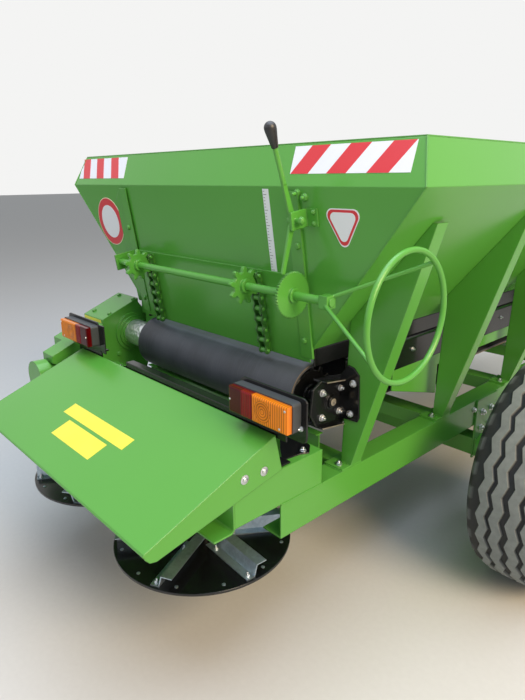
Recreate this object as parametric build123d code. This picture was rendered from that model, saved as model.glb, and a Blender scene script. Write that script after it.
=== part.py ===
# Lime spreader: a towed single-axle hopper with a floor belt, a gate and two spreading discs
# X points to the machine's right, Y forward to the tractor, Z up; the ground is at Z = 0
# Lengths along Y are measured from the rear crease of the hopper, and the finished machine is
# moved so that its origin lies on the ground in the middle of its length and width
import os
from math import atan2, cos, degrees, hypot, pi, radians, sin

from build123d import *

# Hopper
HOPPER_LENGTH = 2800.0
HOPPER_WIDTH = 1838.0
CREASE_Z = 1500.0
RIM_TOP_Z = 1617.0
RIM_LEAN_END = 53.0
RIM_LEAN_SIDE = 40.0
RIM_LIP = 28.0
BASE_Z = 945.0
BASE_WIDTH = 918.0
END_WALL_RUN = 86.0
WALL = 4.0

# Frame rails, cross members and ribs
RAIL_OUTER_X = BASE_WIDTH / 2 + 142.0
RAIL_WIDTH = 80.0
RAIL_HEIGHT = 120.0
RAIL_TOP_Z = 576.0
RAIL_REAR_Y = -160.0
RAIL_FRONT_OVERHANG = 60.0
TUBE_WALL = 5.0
CROSS_HEIGHT = 60.0
CROSS_WIDTH = 80.0
RIB_FIRST_Y = 174.0
RIB_SECOND_Y = 765.0
RIB_PLATE = 8.0
RIB_FLANGE = 56.0
RIB_TOP_Z = 1404.0
RIB_CLEARANCE = 10.0
RIB_LEAN = 18.0
RIB_CUT = 5.0
RIB_PAD = 8.0
RIB_PAD_BACK = 45.0
RIB_PAD_FRONT = 60.0
CROSS_REAR_Y = -1.0
DEFLECTOR_Y = 116.0
DEFLECTOR_TOP_Z = 700.0
DEFLECTOR_SHEET = 4.0
DEFLECTOR_LAP = 46.0
DEFLECTOR_FOLD = 32.0
DEFLECTOR_HOLE_R = 36.0

# Floor belt and its drums
BELT_TOP_Z = 930.0
BELT_WIDTH = BASE_WIDTH + 22.0
BELT_THICKNESS = 10.0
DRUM_AXIS_Z = 820.0
DRUM_REAR_Y = 120.0
DRUM_FRONT_INSET = 120.0
DRUM_BAR = 18.0
DRUM_BARS = 12
DRUM_SHAFT_R = 20.0
DRUM_SHAFT_PROUD = 14.0
BELT_SIDE_X = BELT_WIDTH / 2 + 42.0
BELT_SIDE_WALL = 5.0
BELT_SIDE_END_Y = 238.0
BELT_SIDE_BOTTOM_Z = 818.0
BELT_SIDE_TOP_Z = 922.0
BELT_BEAM_HEIGHT = 48.0
BELT_BEAM_WALL = 6.0
BELT_BEAM_FLANGE = 30.0
APRON_REAR_Y = 525.0
APRON_FRONT_Y = 850.0
APRON_REAR_Z = 736.0
APRON_FRONT_Z = 642.0
BED_THICKNESS = 6.0
SKIRT_X = BASE_WIDTH / 2 + 41.0
SKIRT_WALL = 5.0
RETURN_ROLLER_R = 24.0
RETURN_ROLLER_Y = (900.0, 1900.0)

# Drum bearing plates, measured from the shaft's axis in the plate's own tilted frame
PLATE_X = BELT_SIDE_X + 36.0
PLATE_THICKNESS = 8.0
PLATE_TILT = 7.5
PLATE_BACK = 92.0
PLATE_FOLD = 82.0
PLATE_REACH = 188.0
PLATE_UP = 74.0
PLATE_DOWN = 86.0
PLATE_END_UP = 60.0
PLATE_END_DOWN = 118.0
PLATE_TOP_BEVEL = (37.0, 27.0)
PLATE_LOW_BEVEL = (41.0, 50.0)
BEARING_R = 27.0
BEARING_DEPTH = 6.0

# Axle and wheels, tyres 12.5/80-15.3
AXLE_Y = 922.0
AXLE_BEAM = 80.0
AXLE_BEAM_WALL = 8.0
AXLE_BEAM_Y = 1100.0
AXLE_BEAM_Z = 350.0
AXLE_ARM = 30.0
AXLE_ARM_GAP = 91.0
AXLE_ARM_HALF = 50.0
AXLE_STUB_R = 40.0
TRACK = 1984.0
TYRE_R = 444.5
TYRE_WIDTH = 307.0
TYRE_SIDES = 40
TYRE_WALL = 20.0
RIM_R = 194.0
RIM_WIDTH = 230.0
RIM_WALL = 7.0
HUB_R = 70.0
DISH_X = 24.0
SPINDLE_R = 28.0
SPINDLE_REACH = 46.0
HUB_BACK = 46.0
WHEEL_STUDS = 6
WHEEL_STUD_CIRCLE_R = 102.5
HAND_HOLES = 8
HAND_HOLE_R = 12.0
HAND_HOLE_CIRCLE_R = 136.0
AXLE_PLATE = 8.0
AXLE_PLATE_REAR_Y = 1056.0
AXLE_PLATE_FRONT_Y = 1240.0
AXLE_PLATE_LOW_Z = 297.0
AXLE_PLATE_BEVEL = (90.0, 103.0)

# Disc carrier behind the rails
ARM_WIDTH = 60.0
ARM_HEIGHT = 121.0
ARM_REAR_Y = -341.0
ARM_FRONT_Y = 25.0
CROSSBAR_DEPTH = 76.0
CROSSBAR_HEIGHT = 127.0
CROSSBAR_WALL = 6.0
GEAR_PLATE = 8.0
GEAR_PLATE_DEPTH = 130.0

# Spreading discs
DISC_X = 319.0
DISC_Y = -250.0
DISC_TOP_Z = 378.0
DISC_R = 294.0
DISC_PLATE = 5.0
DISC_RIM_DROP = 8.0
VANES = 6
VANE_FIRST_ANGLE = -64.0
VANE_INNER_R = 62.0
VANE_OUTER_R = 284.0
VANE_FOOT = 30.0
VANE_HEIGHT = 40.0
VANE_FLANGE = 34.0
VANE_SHEET = 3.0
DISC_SHAFT_R = 20.0

# Rear cover over the discs
COVER_SHEET = 4.0
COVER_HALF_WIDTH = RAIL_OUTER_X + COVER_SHEET
COVER_TOP_Y = -187.0
COVER_TOP_Z = 817.0
COVER_TIP_Y = -636.0
COVER_TIP_Z = 643.0
COVER_LIP = 4.0

# Lamps
LAMP_BAR_Y = -182.0
LAMP_BAR_THICKNESS = 5.0
LAMP_X = RAIL_OUTER_X - 26.0
LAMP_Z = 902.0
LAMP_PLATE_HALF = 136.0
LAMP_PLATE_UP = 56.0
LAMP_PLATE_DOWN = 76.0
LAMP_STRIP_DOWN = 10.0
LAMP_STRIP_UP = 21.0
LAMP_STRIP_FOLD = 34.0
LAMP_STRIP_GAP = (-440.0, -240.0)
LAMP_FOOT_HALF = 22.0
LAMP_FOOT_DEPTH = 70.0
LAMP_LENGTH = 250.0
LAMP_HEIGHT = 88.0
LAMP_DEPTH = 52.0
LENS_DEPTH = 20.0
RED_SHARE = 0.42

# Gate, its lift and the holding pawl, measured down the outer face of the rear wall
GATE_HALF_WIDTH = BASE_WIDTH / 2 + 33.0
GATE_PLATE = 5.0
GATE_CLEARANCE = 0.4
GATE_TOP_V = -266.0
GATE_TRAVEL = 200.0
OUTLET_HALF_WIDTH = 360.0
OUTLET_TOP_V = -300.0
SHAFT_V = -300.0
SHAFT_R = 13.0
SHAFT_LEFT_X = -BASE_WIDTH / 2 - 43.0
SHAFT_RIGHT_X = BASE_WIDTH / 2 + 213.0
CHAIN_PITCH = 38.1
CHAIN_ROLLERS = 9
CHAIN_ROLLERS_BELOW = 6.5
CHAIN_ROLLER_R = 8.0
CHAIN_PIN_R = 4.5
CHAIN_PLATE_R = 13.0
CHAIN_PLATE = 4.0
CHAIN_INNER_HALF = 8.5
CHAIN_BAR = 7.0
CHAIN_BAR_HALF = 9.0
CHAIN_BAR_MARGIN = 8.0
RACK_X = (-352.0, 298.0)
SPROCKET_TEETH = 9
SPROCKET_THICKNESS = 14.0
RATCHET_X = GATE_HALF_WIDTH + 26.0
RATCHET_R = 71.0
RATCHET_TEETH = 48
RATCHET_TOOTH = 5.0
RATCHET_THICKNESS = 8.0
GUIDE_TOP_V = -12.0
GUIDE_OUTER_X = GATE_HALF_WIDTH + 15.0
GUIDE_LIP = 50.0
WING_WIDTH = 52.0
GUIDE_SHEET = 3.0
BRACKET_X = GUIDE_OUTER_X - 20.0
WHEEL_X = SHAFT_RIGHT_X + 243.0
WHEEL_R = 166.0
WHEEL_TUBE_R = 8.0
SPOKE_ANGLES = (50.0, 215.0)
SPOKE_R = 6.0
PAWL_PIVOT_V = -86.0
PAWL_PIVOT_W = 49.0
PAWL_CLEARANCE = 6.5
LEVER_KNOB_Y = -124.0
LEVER_KNOB_Z = 1655.0
LEVER_BAR = 118.0
KNOB_LENGTH = 76.0
KNOB_R = 17.0

# Drive of the discs and of the belt
DRIVE_Z = 620.0
DRIVE_R = 18.0
SLEEVE_OFFSET = 210.0
STUB_R = 17.45
STUB_LENGTH = 80.0
CASE_INNER_X = -RAIL_OUTER_X - 99.0
CASE_WIDTH = 184.0
CASE_SLOPE = 0.40
CASE_TOP_FRONT = (157.0, 957.0)
CASE_FRONT_Y = 228.0
CASE_LOW_Z = 622.0
CASE_STEP_Y = -196.0
CASE_ARM_END_Y = -288.0
CASE_ARM_WIDTH = 100.0
CASE_ARM_DEPTH = (34.0, 116.0)
CASE_LID = 20.0
CASE_LID_LENGTH = 192.0
CASE_FLANGES = ((94.0, 10.0), (79.0, 20.0), (67.0, 28.0))
SLEEVE_R = 60.0
MOTOR_OFFSET = 58.0
MOTOR_Z = 684.0
MOTOR_R = 58.0
MOTOR_CAP_R = 72.0
MOTOR_CAP = 56.0
MOTOR_REAR_Y = -352.0

# Drawbar and jack
DRAWBAR_REACH = 1350.0
DRAWBAR_REAR_Y = 2600.0
DRAWBAR_TUBE_W = 60.0
DRAWBAR_TUBE_H = 80.0
DRAWBAR_HEAD_X = 62.0
DRAWBAR_HEAD_BACK = 200.0
DRAWBAR_HEAD_DEPTH = 90.0
EYE_R = 45.0
EYE_BORE_R = 20.0
EYE_THICKNESS = 30.0
JACK_X = 262.0
JACK_BACK = 420.0
JACK_TOP_Z = 640.0
JACK_TUBE_R = 32.0
JACK_FOOT_R = 90.0

SEAT = 0.3

LENGTH = -COVER_TIP_Y + COVER_LIP + HOPPER_LENGTH + DRAWBAR_REACH + EYE_R
ORIGIN_SHIFT = Pos(0, -COVER_TIP_Y + COVER_LIP - LENGTH / 2, 0)
WALL_TILT = atan2(END_WALL_RUN, CREASE_Z - BASE_Z)
SIDE_RUN = (HOPPER_WIDTH - BASE_WIDTH) / 2 / (CREASE_Z - BASE_Z)
WALL_PLANE = Plane(origin=(0, 0, CREASE_Z), x_dir=(1, 0, 0), z_dir=(0, -cos(WALL_TILT), -sin(WALL_TILT)))
BASE_V = -hypot(END_WALL_RUN, CREASE_Z - BASE_Z)
GATE_FACE_W = GATE_CLEARANCE + GATE_PLATE
PITCH_LINE_W = GATE_FACE_W + CHAIN_BAR + CHAIN_PLATE_R - 1.0
PITCH_R = SPROCKET_TEETH * CHAIN_PITCH / (2 * pi)
SHAFT_W = PITCH_LINE_W + PITCH_R
# Each rib: the Y of its plate and the way that its flange is folded from there
RIBS = (
    (RIB_FIRST_Y, 1),
    (RIB_SECOND_Y, 1),
    (HOPPER_LENGTH / 2 - RIB_FLANGE / 2, 1),
    (HOPPER_LENGTH - RIB_SECOND_Y, -1),
    (HOPPER_LENGTH - RIB_FIRST_Y, -1),
)
CROSS_Y = [y + way * RIB_FLANGE / 2 for y, way in RIBS]


def block(x, y, z):
    """A box between the low and high ends of its three spans."""
    centre = [(span[0] + span[1]) / 2 for span in (x, y, z)]
    return Pos(*centre) * Box(x[1] - x[0], y[1] - y[0], z[1] - z[0])


def profile_x(points, x0, x1):
    """An outline in (y, z), drawn out along X."""
    face = make_face(Plane.YZ * Polyline(*points, close=True))
    return Pos(x0, 0, 0) * extrude(face, amount=x1 - x0, dir=(1, 0, 0))


def profile_y(points, y0, y1):
    """An outline in (x, z), drawn out along Y."""
    face = make_face(Plane.XZ * Polyline(*points, close=True))
    return Pos(0, y0, 0) * extrude(face, amount=y1 - y0, dir=(0, 1, 0))


def rod(start, end, radius):
    """A round bar from one point to another."""
    run = Vector(*end) - Vector(*start)
    return Plane(origin=start, z_dir=run) * Cylinder(radius, run.length, align=(Align.CENTER, Align.CENTER, Align.MIN))


def rod_x(x0, x1, y, z, radius):
    return rod((x0, y, z), (x1, y, z), radius)


def on_wall(u, v, w):
    """The point at u across, v up and w out from the outer face of the rear wall."""
    point = WALL_PLANE.from_local_coords((u, v, w))
    return (point.X, point.Y, point.Z)


def wall_block(u, v, w):
    """A box set square to the rear wall."""
    return WALL_PLANE * block(u, v, w)


def mirrored(shape):
    return mirror(shape, about=Plane.YZ)


def side_wall_x(z):
    """Half the hopper's outer width at a height below the crease."""
    return HOPPER_WIDTH / 2 - SIDE_RUN * (CREASE_Z - z)


def save(name, *shapes):
    """Write one node, moved to the machine's origin."""
    solids = [solid for shape in shapes for solid in shape.solids()]
    moved = [ORIGIN_SHIFT * solid for solid in solids]
    node = moved[0] if len(moved) == 1 else Compound(children=moved)
    node.label = name
    export_step(node, f"parts/{name}.step")


def hopper_solid(inset):
    """The space of the hopper, drawn in from its outer faces by inset."""
    sections = (
        # z, half width, distance of the end walls from the creases
        (BASE_Z, BASE_WIDTH / 2, END_WALL_RUN),
        (CREASE_Z, HOPPER_WIDTH / 2, 0.0),
        (RIM_TOP_Z, HOPPER_WIDTH / 2 - RIM_LEAN_SIDE, RIM_LEAN_END),
    )
    across = [(half - inset, z) for z, half, end in sections]
    across += [(-x, z) for x, z in reversed(across)]
    along = [(end + inset, z) for z, half, end in sections]
    along += [(HOPPER_LENGTH - y, z) for y, z in reversed(along)]
    return profile_y(across, -10, HOPPER_LENGTH + 10) & profile_x(along, -HOPPER_WIDTH, HOPPER_WIDTH)


def end_slab():
    """The rear wall's thickness over the whole width, crease and rim band included."""
    outer = [(END_WALL_RUN, BASE_Z), (0, CREASE_Z), (RIM_LEAN_END, RIM_TOP_Z)]
    inner = [(y + WALL, z) for y, z in reversed(outer)]
    return profile_x(outer + inner, -HOPPER_WIDTH, HOPPER_WIDTH)


def rim_lip():
    """The folded flange round the hopper's mouth."""
    half = HOPPER_WIDTH / 2 - RIM_LEAN_SIDE
    length = HOPPER_LENGTH - 2 * RIM_LEAN_END
    sheet = Pos(0, HOPPER_LENGTH / 2, RIM_TOP_Z + WALL / 2)
    return sheet * (Box(2 * half, length, WALL) - Box(2 * (half - RIM_LIP), length - 2 * RIM_LIP, WALL))


def make_hopper():
    outer = hopper_solid(0)
    shell = outer - hopper_solid(WALL)
    rear_slab = end_slab()
    front_slab = Pos(0, HOPPER_LENGTH, 0) * mirror(rear_slab, about=Plane.XZ)
    sides = shell - rear_slab - front_slab
    half_space = block((0, HOPPER_WIDTH), (-100, HOPPER_LENGTH + 100), (0, 2 * CREASE_Z))
    right = sides & half_space
    outlet = wall_block((-OUTLET_HALF_WIDTH, OUTLET_HALF_WIDTH), (BASE_V - 20, OUTLET_TOP_V), (-40, 40))
    rear = (outer & rear_slab) - outlet
    front = outer & front_slab
    save("hopper_wall_rear", rear)
    save("hopper_wall_front", front)
    save("hopper_wall_right", right)
    save("hopper_wall_left", mirrored(right))
    save("hopper_rim", rim_lip())


def make_frame():
    front = HOPPER_LENGTH + RAIL_FRONT_OVERHANG
    inner_x = RAIL_OUTER_X - RAIL_WIDTH
    bottom = RAIL_TOP_Z - RAIL_HEIGHT
    tube = block((inner_x, RAIL_OUTER_X), (RAIL_REAR_Y, front), (bottom, RAIL_TOP_Z))
    hollow = block(
        (inner_x - 1, RAIL_OUTER_X - TUBE_WALL),
        (RAIL_REAR_Y - 1, front + 1),
        (bottom + TUBE_WALL, RAIL_TOP_Z - TUBE_WALL),
    )
    rail = tube - hollow
    save("frame_rails", rail, mirrored(rail))

    members = []
    for y in (CROSS_REAR_Y, *CROSS_Y):
        outer = block((-inner_x, inner_x), (y - CROSS_WIDTH / 2, y + CROSS_WIDTH / 2),
                      (RAIL_TOP_Z - CROSS_HEIGHT, RAIL_TOP_Z))
        groove = block((-inner_x, inner_x), (y - CROSS_WIDTH / 2 + TUBE_WALL, y + CROSS_WIDTH / 2 - TUBE_WALL),
                       (RAIL_TOP_Z - CROSS_HEIGHT - 1, RAIL_TOP_Z - TUBE_WALL))
        members.append(outer - groove)
    middle = DEFLECTOR_Y - DEFLECTOR_FOLD / 2
    sheet = block((-inner_x, inner_x), (middle - DEFLECTOR_SHEET / 2, middle + DEFLECTOR_SHEET / 2),
                  (RAIL_TOP_Z - DEFLECTOR_LAP, DEFLECTOR_TOP_Z))
    sheet += block((-inner_x, inner_x), (DEFLECTOR_Y - DEFLECTOR_FOLD, DEFLECTOR_Y),
                   (DEFLECTOR_TOP_Z - DEFLECTOR_SHEET, DEFLECTOR_TOP_Z))
    sheet -= rod((0, DEFLECTOR_Y - DEFLECTOR_FOLD, DRIVE_Z), (0, DEFLECTOR_Y, DRIVE_Z), DEFLECTOR_HOLE_R)
    save("frame_cross_members", *members, sheet)


def rib(y, way):
    """One leg of the hopper: a tapered plate with its outer edge folded over, on a pad on the rail."""
    foot = RAIL_TOP_Z + RIB_PAD
    top_x = side_wall_x(RIB_TOP_Z)
    foot_x = PLATE_X + RIB_CLEARANCE
    inner_x = foot_x + RIB_LEAN
    inner_top_z = BASE_Z + (inner_x - BASE_WIDTH / 2) / SIDE_RUN
    outline = [
        (foot_x, foot),
        (RAIL_OUTER_X - RIB_PLATE, foot),
        (top_x + RIB_PLATE, RIB_TOP_Z),
        (top_x + SEAT, RIB_TOP_Z),
        (inner_x + SEAT, inner_top_z),
    ]
    edge = [
        (RAIL_OUTER_X - RIB_PLATE, foot), (RAIL_OUTER_X, foot), (top_x + 2 * RIB_PLATE, RIB_TOP_Z),
        (top_x + RIB_PLATE, RIB_TOP_Z),
    ]
    leg = profile_y(outline, *sorted((y, y + way * RIB_PLATE)))
    leg += profile_y(edge, *sorted((y, y + way * RIB_FLANGE)))
    pad_y = sorted((y - way * RIB_PAD_BACK, y + way * RIB_PAD_FRONT))
    return leg + block((RAIL_OUTER_X - RAIL_WIDTH, RAIL_OUTER_X), pad_y, (RAIL_TOP_Z, foot))


def make_ribs():
    right = [rib(y, way) for y, way in RIBS]
    left = [mirrored(one) for one in right]
    # The first left leg is cut out round the belt drive's sleeve, flange and case
    flange_r, flange_reach = CASE_FLANGES[0][0], CASE_FLANGES[-1][1]
    left[0] -= rod_x(CASE_INNER_X, -PLATE_X, DRUM_REAR_Y, DRUM_AXIS_Z, SLEEVE_R + RIB_CUT)
    left[0] -= rod_x(CASE_INNER_X - RIB_CUT, CASE_INNER_X + flange_reach + RIB_CUT, DRUM_REAR_Y, DRUM_AXIS_Z,
                     flange_r + RIB_CUT)
    left[0] -= block((CASE_INNER_X - CASE_WIDTH, CASE_INNER_X + RIB_CUT), (0, CASE_FRONT_Y + RIB_CUT),
                     (CASE_LOW_Z, CASE_TOP_FRONT[1] + RIB_CUT))
    save("hopper_ribs", *right, *left)


def drum(axis_y):
    """A cage drum: square bars round three discs on a through shaft."""
    bar_r = BELT_TOP_Z - BELT_THICKNESS - DRUM_AXIS_Z
    half = BELT_WIDTH / 2 - 6
    cage = rod_x(-half, half, 0, 0, DRUM_SHAFT_R + 14)
    for x in (-half + 10, 0, half - 10):
        cage += rod_x(x - 5, x + 5, 0, 0, bar_r - DRUM_BAR + 2)
    for index in range(DRUM_BARS):
        bar = block((-half, half), (bar_r - DRUM_BAR, bar_r - 1), (-DRUM_BAR / 2, DRUM_BAR / 2))
        cage += Rot(360 / DRUM_BARS * index, 0, 0) * bar
    return Pos(0, axis_y, DRUM_AXIS_Z) * cage


def make_belt():
    front_y = HOPPER_LENGTH - DRUM_FRONT_INSET
    outer_r = BELT_TOP_Z - DRUM_AXIS_Z
    inner_r = outer_r - BELT_THICKNESS
    half = BELT_WIDTH / 2

    def loop(radius):
        body = block((-half, half), (DRUM_REAR_Y, front_y), (DRUM_AXIS_Z - radius, DRUM_AXIS_Z + radius))
        for y in (DRUM_REAR_Y, front_y):
            body += rod_x(-half, half, y, DRUM_AXIS_Z, radius)
        return body

    save("floor_belt", loop(outer_r) - loop(inner_r))

    shaft_end = PLATE_X + DRUM_SHAFT_PROUD
    rear = drum(DRUM_REAR_Y)
    rear += rod_x(CASE_INNER_X - 20, shaft_end, DRUM_REAR_Y, DRUM_AXIS_Z, DRUM_SHAFT_R)
    sleeve_start = CASE_INNER_X + CASE_FLANGES[-1][1]
    rear += rod_x(sleeve_start, -BELT_WIDTH / 2 - 8, DRUM_REAR_Y, DRUM_AXIS_Z, SLEEVE_R)
    save("drum_rear", rear)
    front = drum(front_y)
    front += rod_x(-shaft_end, shaft_end, front_y, DRUM_AXIS_Z, DRUM_SHAFT_R)
    save("drum_front", front)

    bed_top = BELT_TOP_Z - BELT_THICKNESS - SEAT
    side_y = (BELT_SIDE_END_Y, HOPPER_LENGTH - BELT_SIDE_END_Y)
    web_x = (BELT_SIDE_X - BELT_SIDE_WALL, BELT_SIDE_X)
    bed_y = (side_y[0] + 30, side_y[1] - 30)
    save("belt_bed", block((-web_x[0], web_x[0]), bed_y, (bed_top - BED_THICKNESS, bed_top)))
    side = block(web_x, side_y, (BELT_SIDE_BOTTOM_Z, BELT_SIDE_TOP_Z))
    side += block((BELT_SIDE_X - 30, BELT_SIDE_X), side_y, (BELT_SIDE_BOTTOM_Z, BELT_SIDE_BOTTOM_Z + BELT_SIDE_WALL))
    save("belt_sides", side, mirrored(side))

    beam_y = (APRON_REAR_Y, HOPPER_LENGTH - APRON_REAR_Y)
    beam_z = (BELT_SIDE_BOTTOM_Z - BELT_BEAM_HEIGHT, BELT_SIDE_BOTTOM_Z)
    beam_inner = BELT_SIDE_X - BELT_BEAM_WALL
    beam = block((beam_inner, BELT_SIDE_X), beam_y, beam_z)
    beam += block((BELT_SIDE_X - BELT_BEAM_FLANGE, BELT_SIDE_X), beam_y, (beam_z[1] - BELT_BEAM_WALL, beam_z[1]))
    apron = [
        (APRON_REAR_Y, beam_z[1]), (APRON_FRONT_Y, beam_z[1]), (APRON_FRONT_Y, APRON_FRONT_Z),
        (APRON_REAR_Y, APRON_REAR_Z),
    ]
    beam += profile_x(apron, beam_inner, BELT_SIDE_X)
    save("belt_beams", beam, mirrored(beam))

    rollers = []
    roller_z = DRUM_AXIS_Z - outer_r - SEAT - RETURN_ROLLER_R
    for y in RETURN_ROLLER_Y:
        ear = beam_inner - BELT_BEAM_WALL
        roller = rod_x(-ear, ear, y, roller_z, RETURN_ROLLER_R)
        for sign in (-1, 1):
            ear_x = sorted((sign * beam_inner, sign * ear))
            roller += block(ear_x, (y - 25, y + 25), (roller_z - 30, beam_z[1] - BELT_BEAM_WALL))
        rollers.append(roller)
    save("return_rollers", *rollers)

    skirt_y = (92.0, HOPPER_LENGTH - 92.0)
    low = BELT_TOP_Z + 3
    gap = SEAT * hypot(1, SIDE_RUN)
    top_z = BASE_Z + (SKIRT_X - BASE_WIDTH / 2 - gap) / SIDE_RUN
    leg_x = BASE_WIDTH / 2 + gap + 4
    leg_z = BASE_Z + 4 / SIDE_RUN
    fold = SKIRT_WALL * hypot(1, SIDE_RUN) / SIDE_RUN
    section = [
        (SKIRT_X, low),
        (SKIRT_X, top_z),
        (leg_x, leg_z),
        (leg_x + SKIRT_WALL * 0.6, leg_z - SKIRT_WALL * 0.75),
        (SKIRT_X - SKIRT_WALL, top_z - fold - 2),
        (SKIRT_X - SKIRT_WALL, low),
    ]
    skirt = profile_y(section, *skirt_y)
    save("belt_skirts", skirt, mirrored(skirt))


def bearing_plate():
    """A plate set off from the belt's side by a fold, its top and bottom turned in, with a shaft bearing."""
    inner_x = PLATE_X - PLATE_THICKNESS
    web = [
        (-PLATE_BACK, PLATE_UP - PLATE_TOP_BEVEL[1]), (-PLATE_BACK + PLATE_TOP_BEVEL[0], PLATE_UP),
        (PLATE_FOLD, PLATE_UP), (PLATE_FOLD, -PLATE_DOWN), (-PLATE_BACK + PLATE_LOW_BEVEL[0], -PLATE_DOWN),
        (-PLATE_BACK, -PLATE_DOWN + PLATE_LOW_BEVEL[1]),
    ]
    plate = profile_x(web, inner_x, PLATE_X)
    fold_y = PLATE_FOLD - PLATE_THICKNESS
    plate += block((BELT_SIDE_X, PLATE_X), (fold_y, PLATE_FOLD), (-PLATE_DOWN, PLATE_UP))
    end = [(fold_y, PLATE_UP), (PLATE_REACH, PLATE_END_UP), (PLATE_REACH, -PLATE_END_DOWN), (fold_y, -PLATE_DOWN)]
    plate += profile_x(end, BELT_SIDE_X, BELT_SIDE_X + PLATE_THICKNESS)
    for start, z in ((PLATE_TOP_BEVEL[0], (PLATE_UP - PLATE_THICKNESS, PLATE_UP)),
                     (PLATE_LOW_BEVEL[0], (-PLATE_DOWN, -PLATE_DOWN + PLATE_THICKNESS))):
        plate += block((BELT_SIDE_X, PLATE_X), (start - PLATE_BACK, PLATE_FOLD), z)
    plate += rod_x(PLATE_X, PLATE_X + BEARING_DEPTH, 0, 0, BEARING_R)
    plate -= rod_x(BELT_SIDE_X, PLATE_X + BEARING_DEPTH + 1, 0, 0, DRUM_SHAFT_R + 0.05)
    return Pos(0, DRUM_REAR_Y, DRUM_AXIS_Z) * Rot(-PLATE_TILT, 0, 0) * plate


def make_bearings():
    rear = bearing_plate()
    front = Pos(0, HOPPER_LENGTH, 0) * mirror(rear, about=Plane.XZ)
    save("bearing_plates", rear, front, mirrored(front))


def make_axle():
    """The axle's square beam between hanging plates, and an arm outside each plate for the spindle."""
    half = AXLE_BEAM / 2
    y = (AXLE_BEAM_Y - half, AXLE_BEAM_Y + half)
    z = (AXLE_BEAM_Z - half, AXLE_BEAM_Z + half)
    t = AXLE_BEAM_WALL
    arm_x = (RAIL_OUTER_X + AXLE_PLATE + AXLE_ARM_GAP, RAIL_OUTER_X + AXLE_PLATE + AXLE_ARM_GAP + AXLE_ARM)
    beam = block((-arm_x[0], arm_x[0]), y, z)
    beam -= block((-arm_x[0] - 1, arm_x[0] + 1), (y[0] + t, y[1] - t), (z[0] + t, z[1] - t))
    ends = ((AXLE_BEAM_Y, AXLE_BEAM_Z), (AXLE_Y, TYRE_R))
    arm = flat_bar(sum(arm_x) / 2, *ends, 2 * AXLE_ARM_HALF, AXLE_ARM, 1.0)
    for end_y, end_z in ends:
        arm += rod_x(*arm_x, end_y, end_z, AXLE_ARM_HALF)
    arm += rod_x(arm_x[1] - 1, TRACK / 2 - HUB_BACK - 20, AXLE_Y, TYRE_R, AXLE_STUB_R)
    arm += rod_x(arm_x[1] - 1, TRACK / 2 + DISH_X + SPINDLE_REACH, AXLE_Y, TYRE_R, SPINDLE_R)
    save("axle_beam", beam, arm, mirrored(arm))

    outline = [
        (AXLE_PLATE_REAR_Y, RAIL_TOP_Z), (AXLE_PLATE_REAR_Y, AXLE_PLATE_LOW_Z),
        (AXLE_PLATE_FRONT_Y - AXLE_PLATE_BEVEL[0], AXLE_PLATE_LOW_Z),
        (AXLE_PLATE_FRONT_Y, AXLE_PLATE_LOW_Z + AXLE_PLATE_BEVEL[1]), (AXLE_PLATE_FRONT_Y, RAIL_TOP_Z),
    ]
    plate = profile_x(outline, RAIL_OUTER_X, RAIL_OUTER_X + AXLE_PLATE)
    plate -= block((RAIL_OUTER_X - 1, RAIL_OUTER_X + AXLE_PLATE + 1), y, z)
    save("axle_brackets", plate, mirrored(plate))


def faceted_ring(section, sides):
    """A closed (x, radius) section carried round the X axis in flat facets, with a flat at the bottom."""
    reach = 1 / cos(pi / sides)
    rings = []
    for index in range(sides):
        angle = 2 * pi * (index + 0.5) / sides
        rings.append([(x, r * reach * cos(angle), r * reach * sin(angle)) for x, r in section])
    faces = []
    for ring, after in zip(rings, rings[1:] + rings[:1]):
        for low in range(len(section)):
            high = (low + 1) % len(section)
            faces.append(Face(Wire.make_polygon([ring[low], ring[high], after[high], after[low]])))
    return Solid(Shell(faces))


def tyre():
    """The tyre's section carried round the axle: flat crown, sloping shoulders, open at the rim."""
    half = TYRE_WIDTH / 2
    bead = RIM_WIDTH / 2 - 8
    middle = (RIM_R + TYRE_R) / 2
    outer = [
        (bead - 12, RIM_R), (bead + 6, RIM_R), (bead + 6, RIM_R + 15), (half - 5, RIM_R + 62), (half, middle),
        (half - 10, TYRE_R - 58), (half - 38, TYRE_R - 17), (half - 80, TYRE_R),
    ]
    inner = [(half - 60, TYRE_R - TYRE_WALL - 8), (half - TYRE_WALL, middle)]
    section = outer + [(-x, r) for x, r in reversed(outer)] + [(-x, r) for x, r in reversed(inner)] + inner
    return faceted_ring(section, TYRE_SIDES)


def wheel_rim():
    """A pressed rim with its dished centre bolted to the hub flange."""
    half = RIM_WIDTH / 2
    lip = RIM_R + 14
    outer = [(half + 7.5, lip), (half + 0.5, lip), (half + 0.5, RIM_R - SEAT)]
    inner = [(-half - 7.5, RIM_R - RIM_WALL), (half + 7.5, RIM_R - RIM_WALL)]
    section = outer + [(-x, r) for x, r in reversed(outer)] + inner
    barrel = revolve(make_face(Polyline(*section, close=True)), axis=Axis.X)
    well = RIM_R - RIM_WALL + 1
    dish_section = [
        (DISH_X + 8, HUB_R - 8), (DISH_X + 8, 158), (DISH_X - 14, well), (DISH_X - 24, well), (DISH_X, 152),
        (DISH_X, HUB_R - 8),
    ]
    dish = revolve(make_face(Polyline(*dish_section, close=True)), axis=Axis.X)
    for index in range(HAND_HOLES):
        hole = Pos(DISH_X, 0, HAND_HOLE_CIRCLE_R) * Rot(0, 90, 0) * Cylinder(HAND_HOLE_R, 40)
        dish -= Rot(360 / HAND_HOLES * (index + 0.5), 0, 0) * hole
    return barrel + dish


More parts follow.
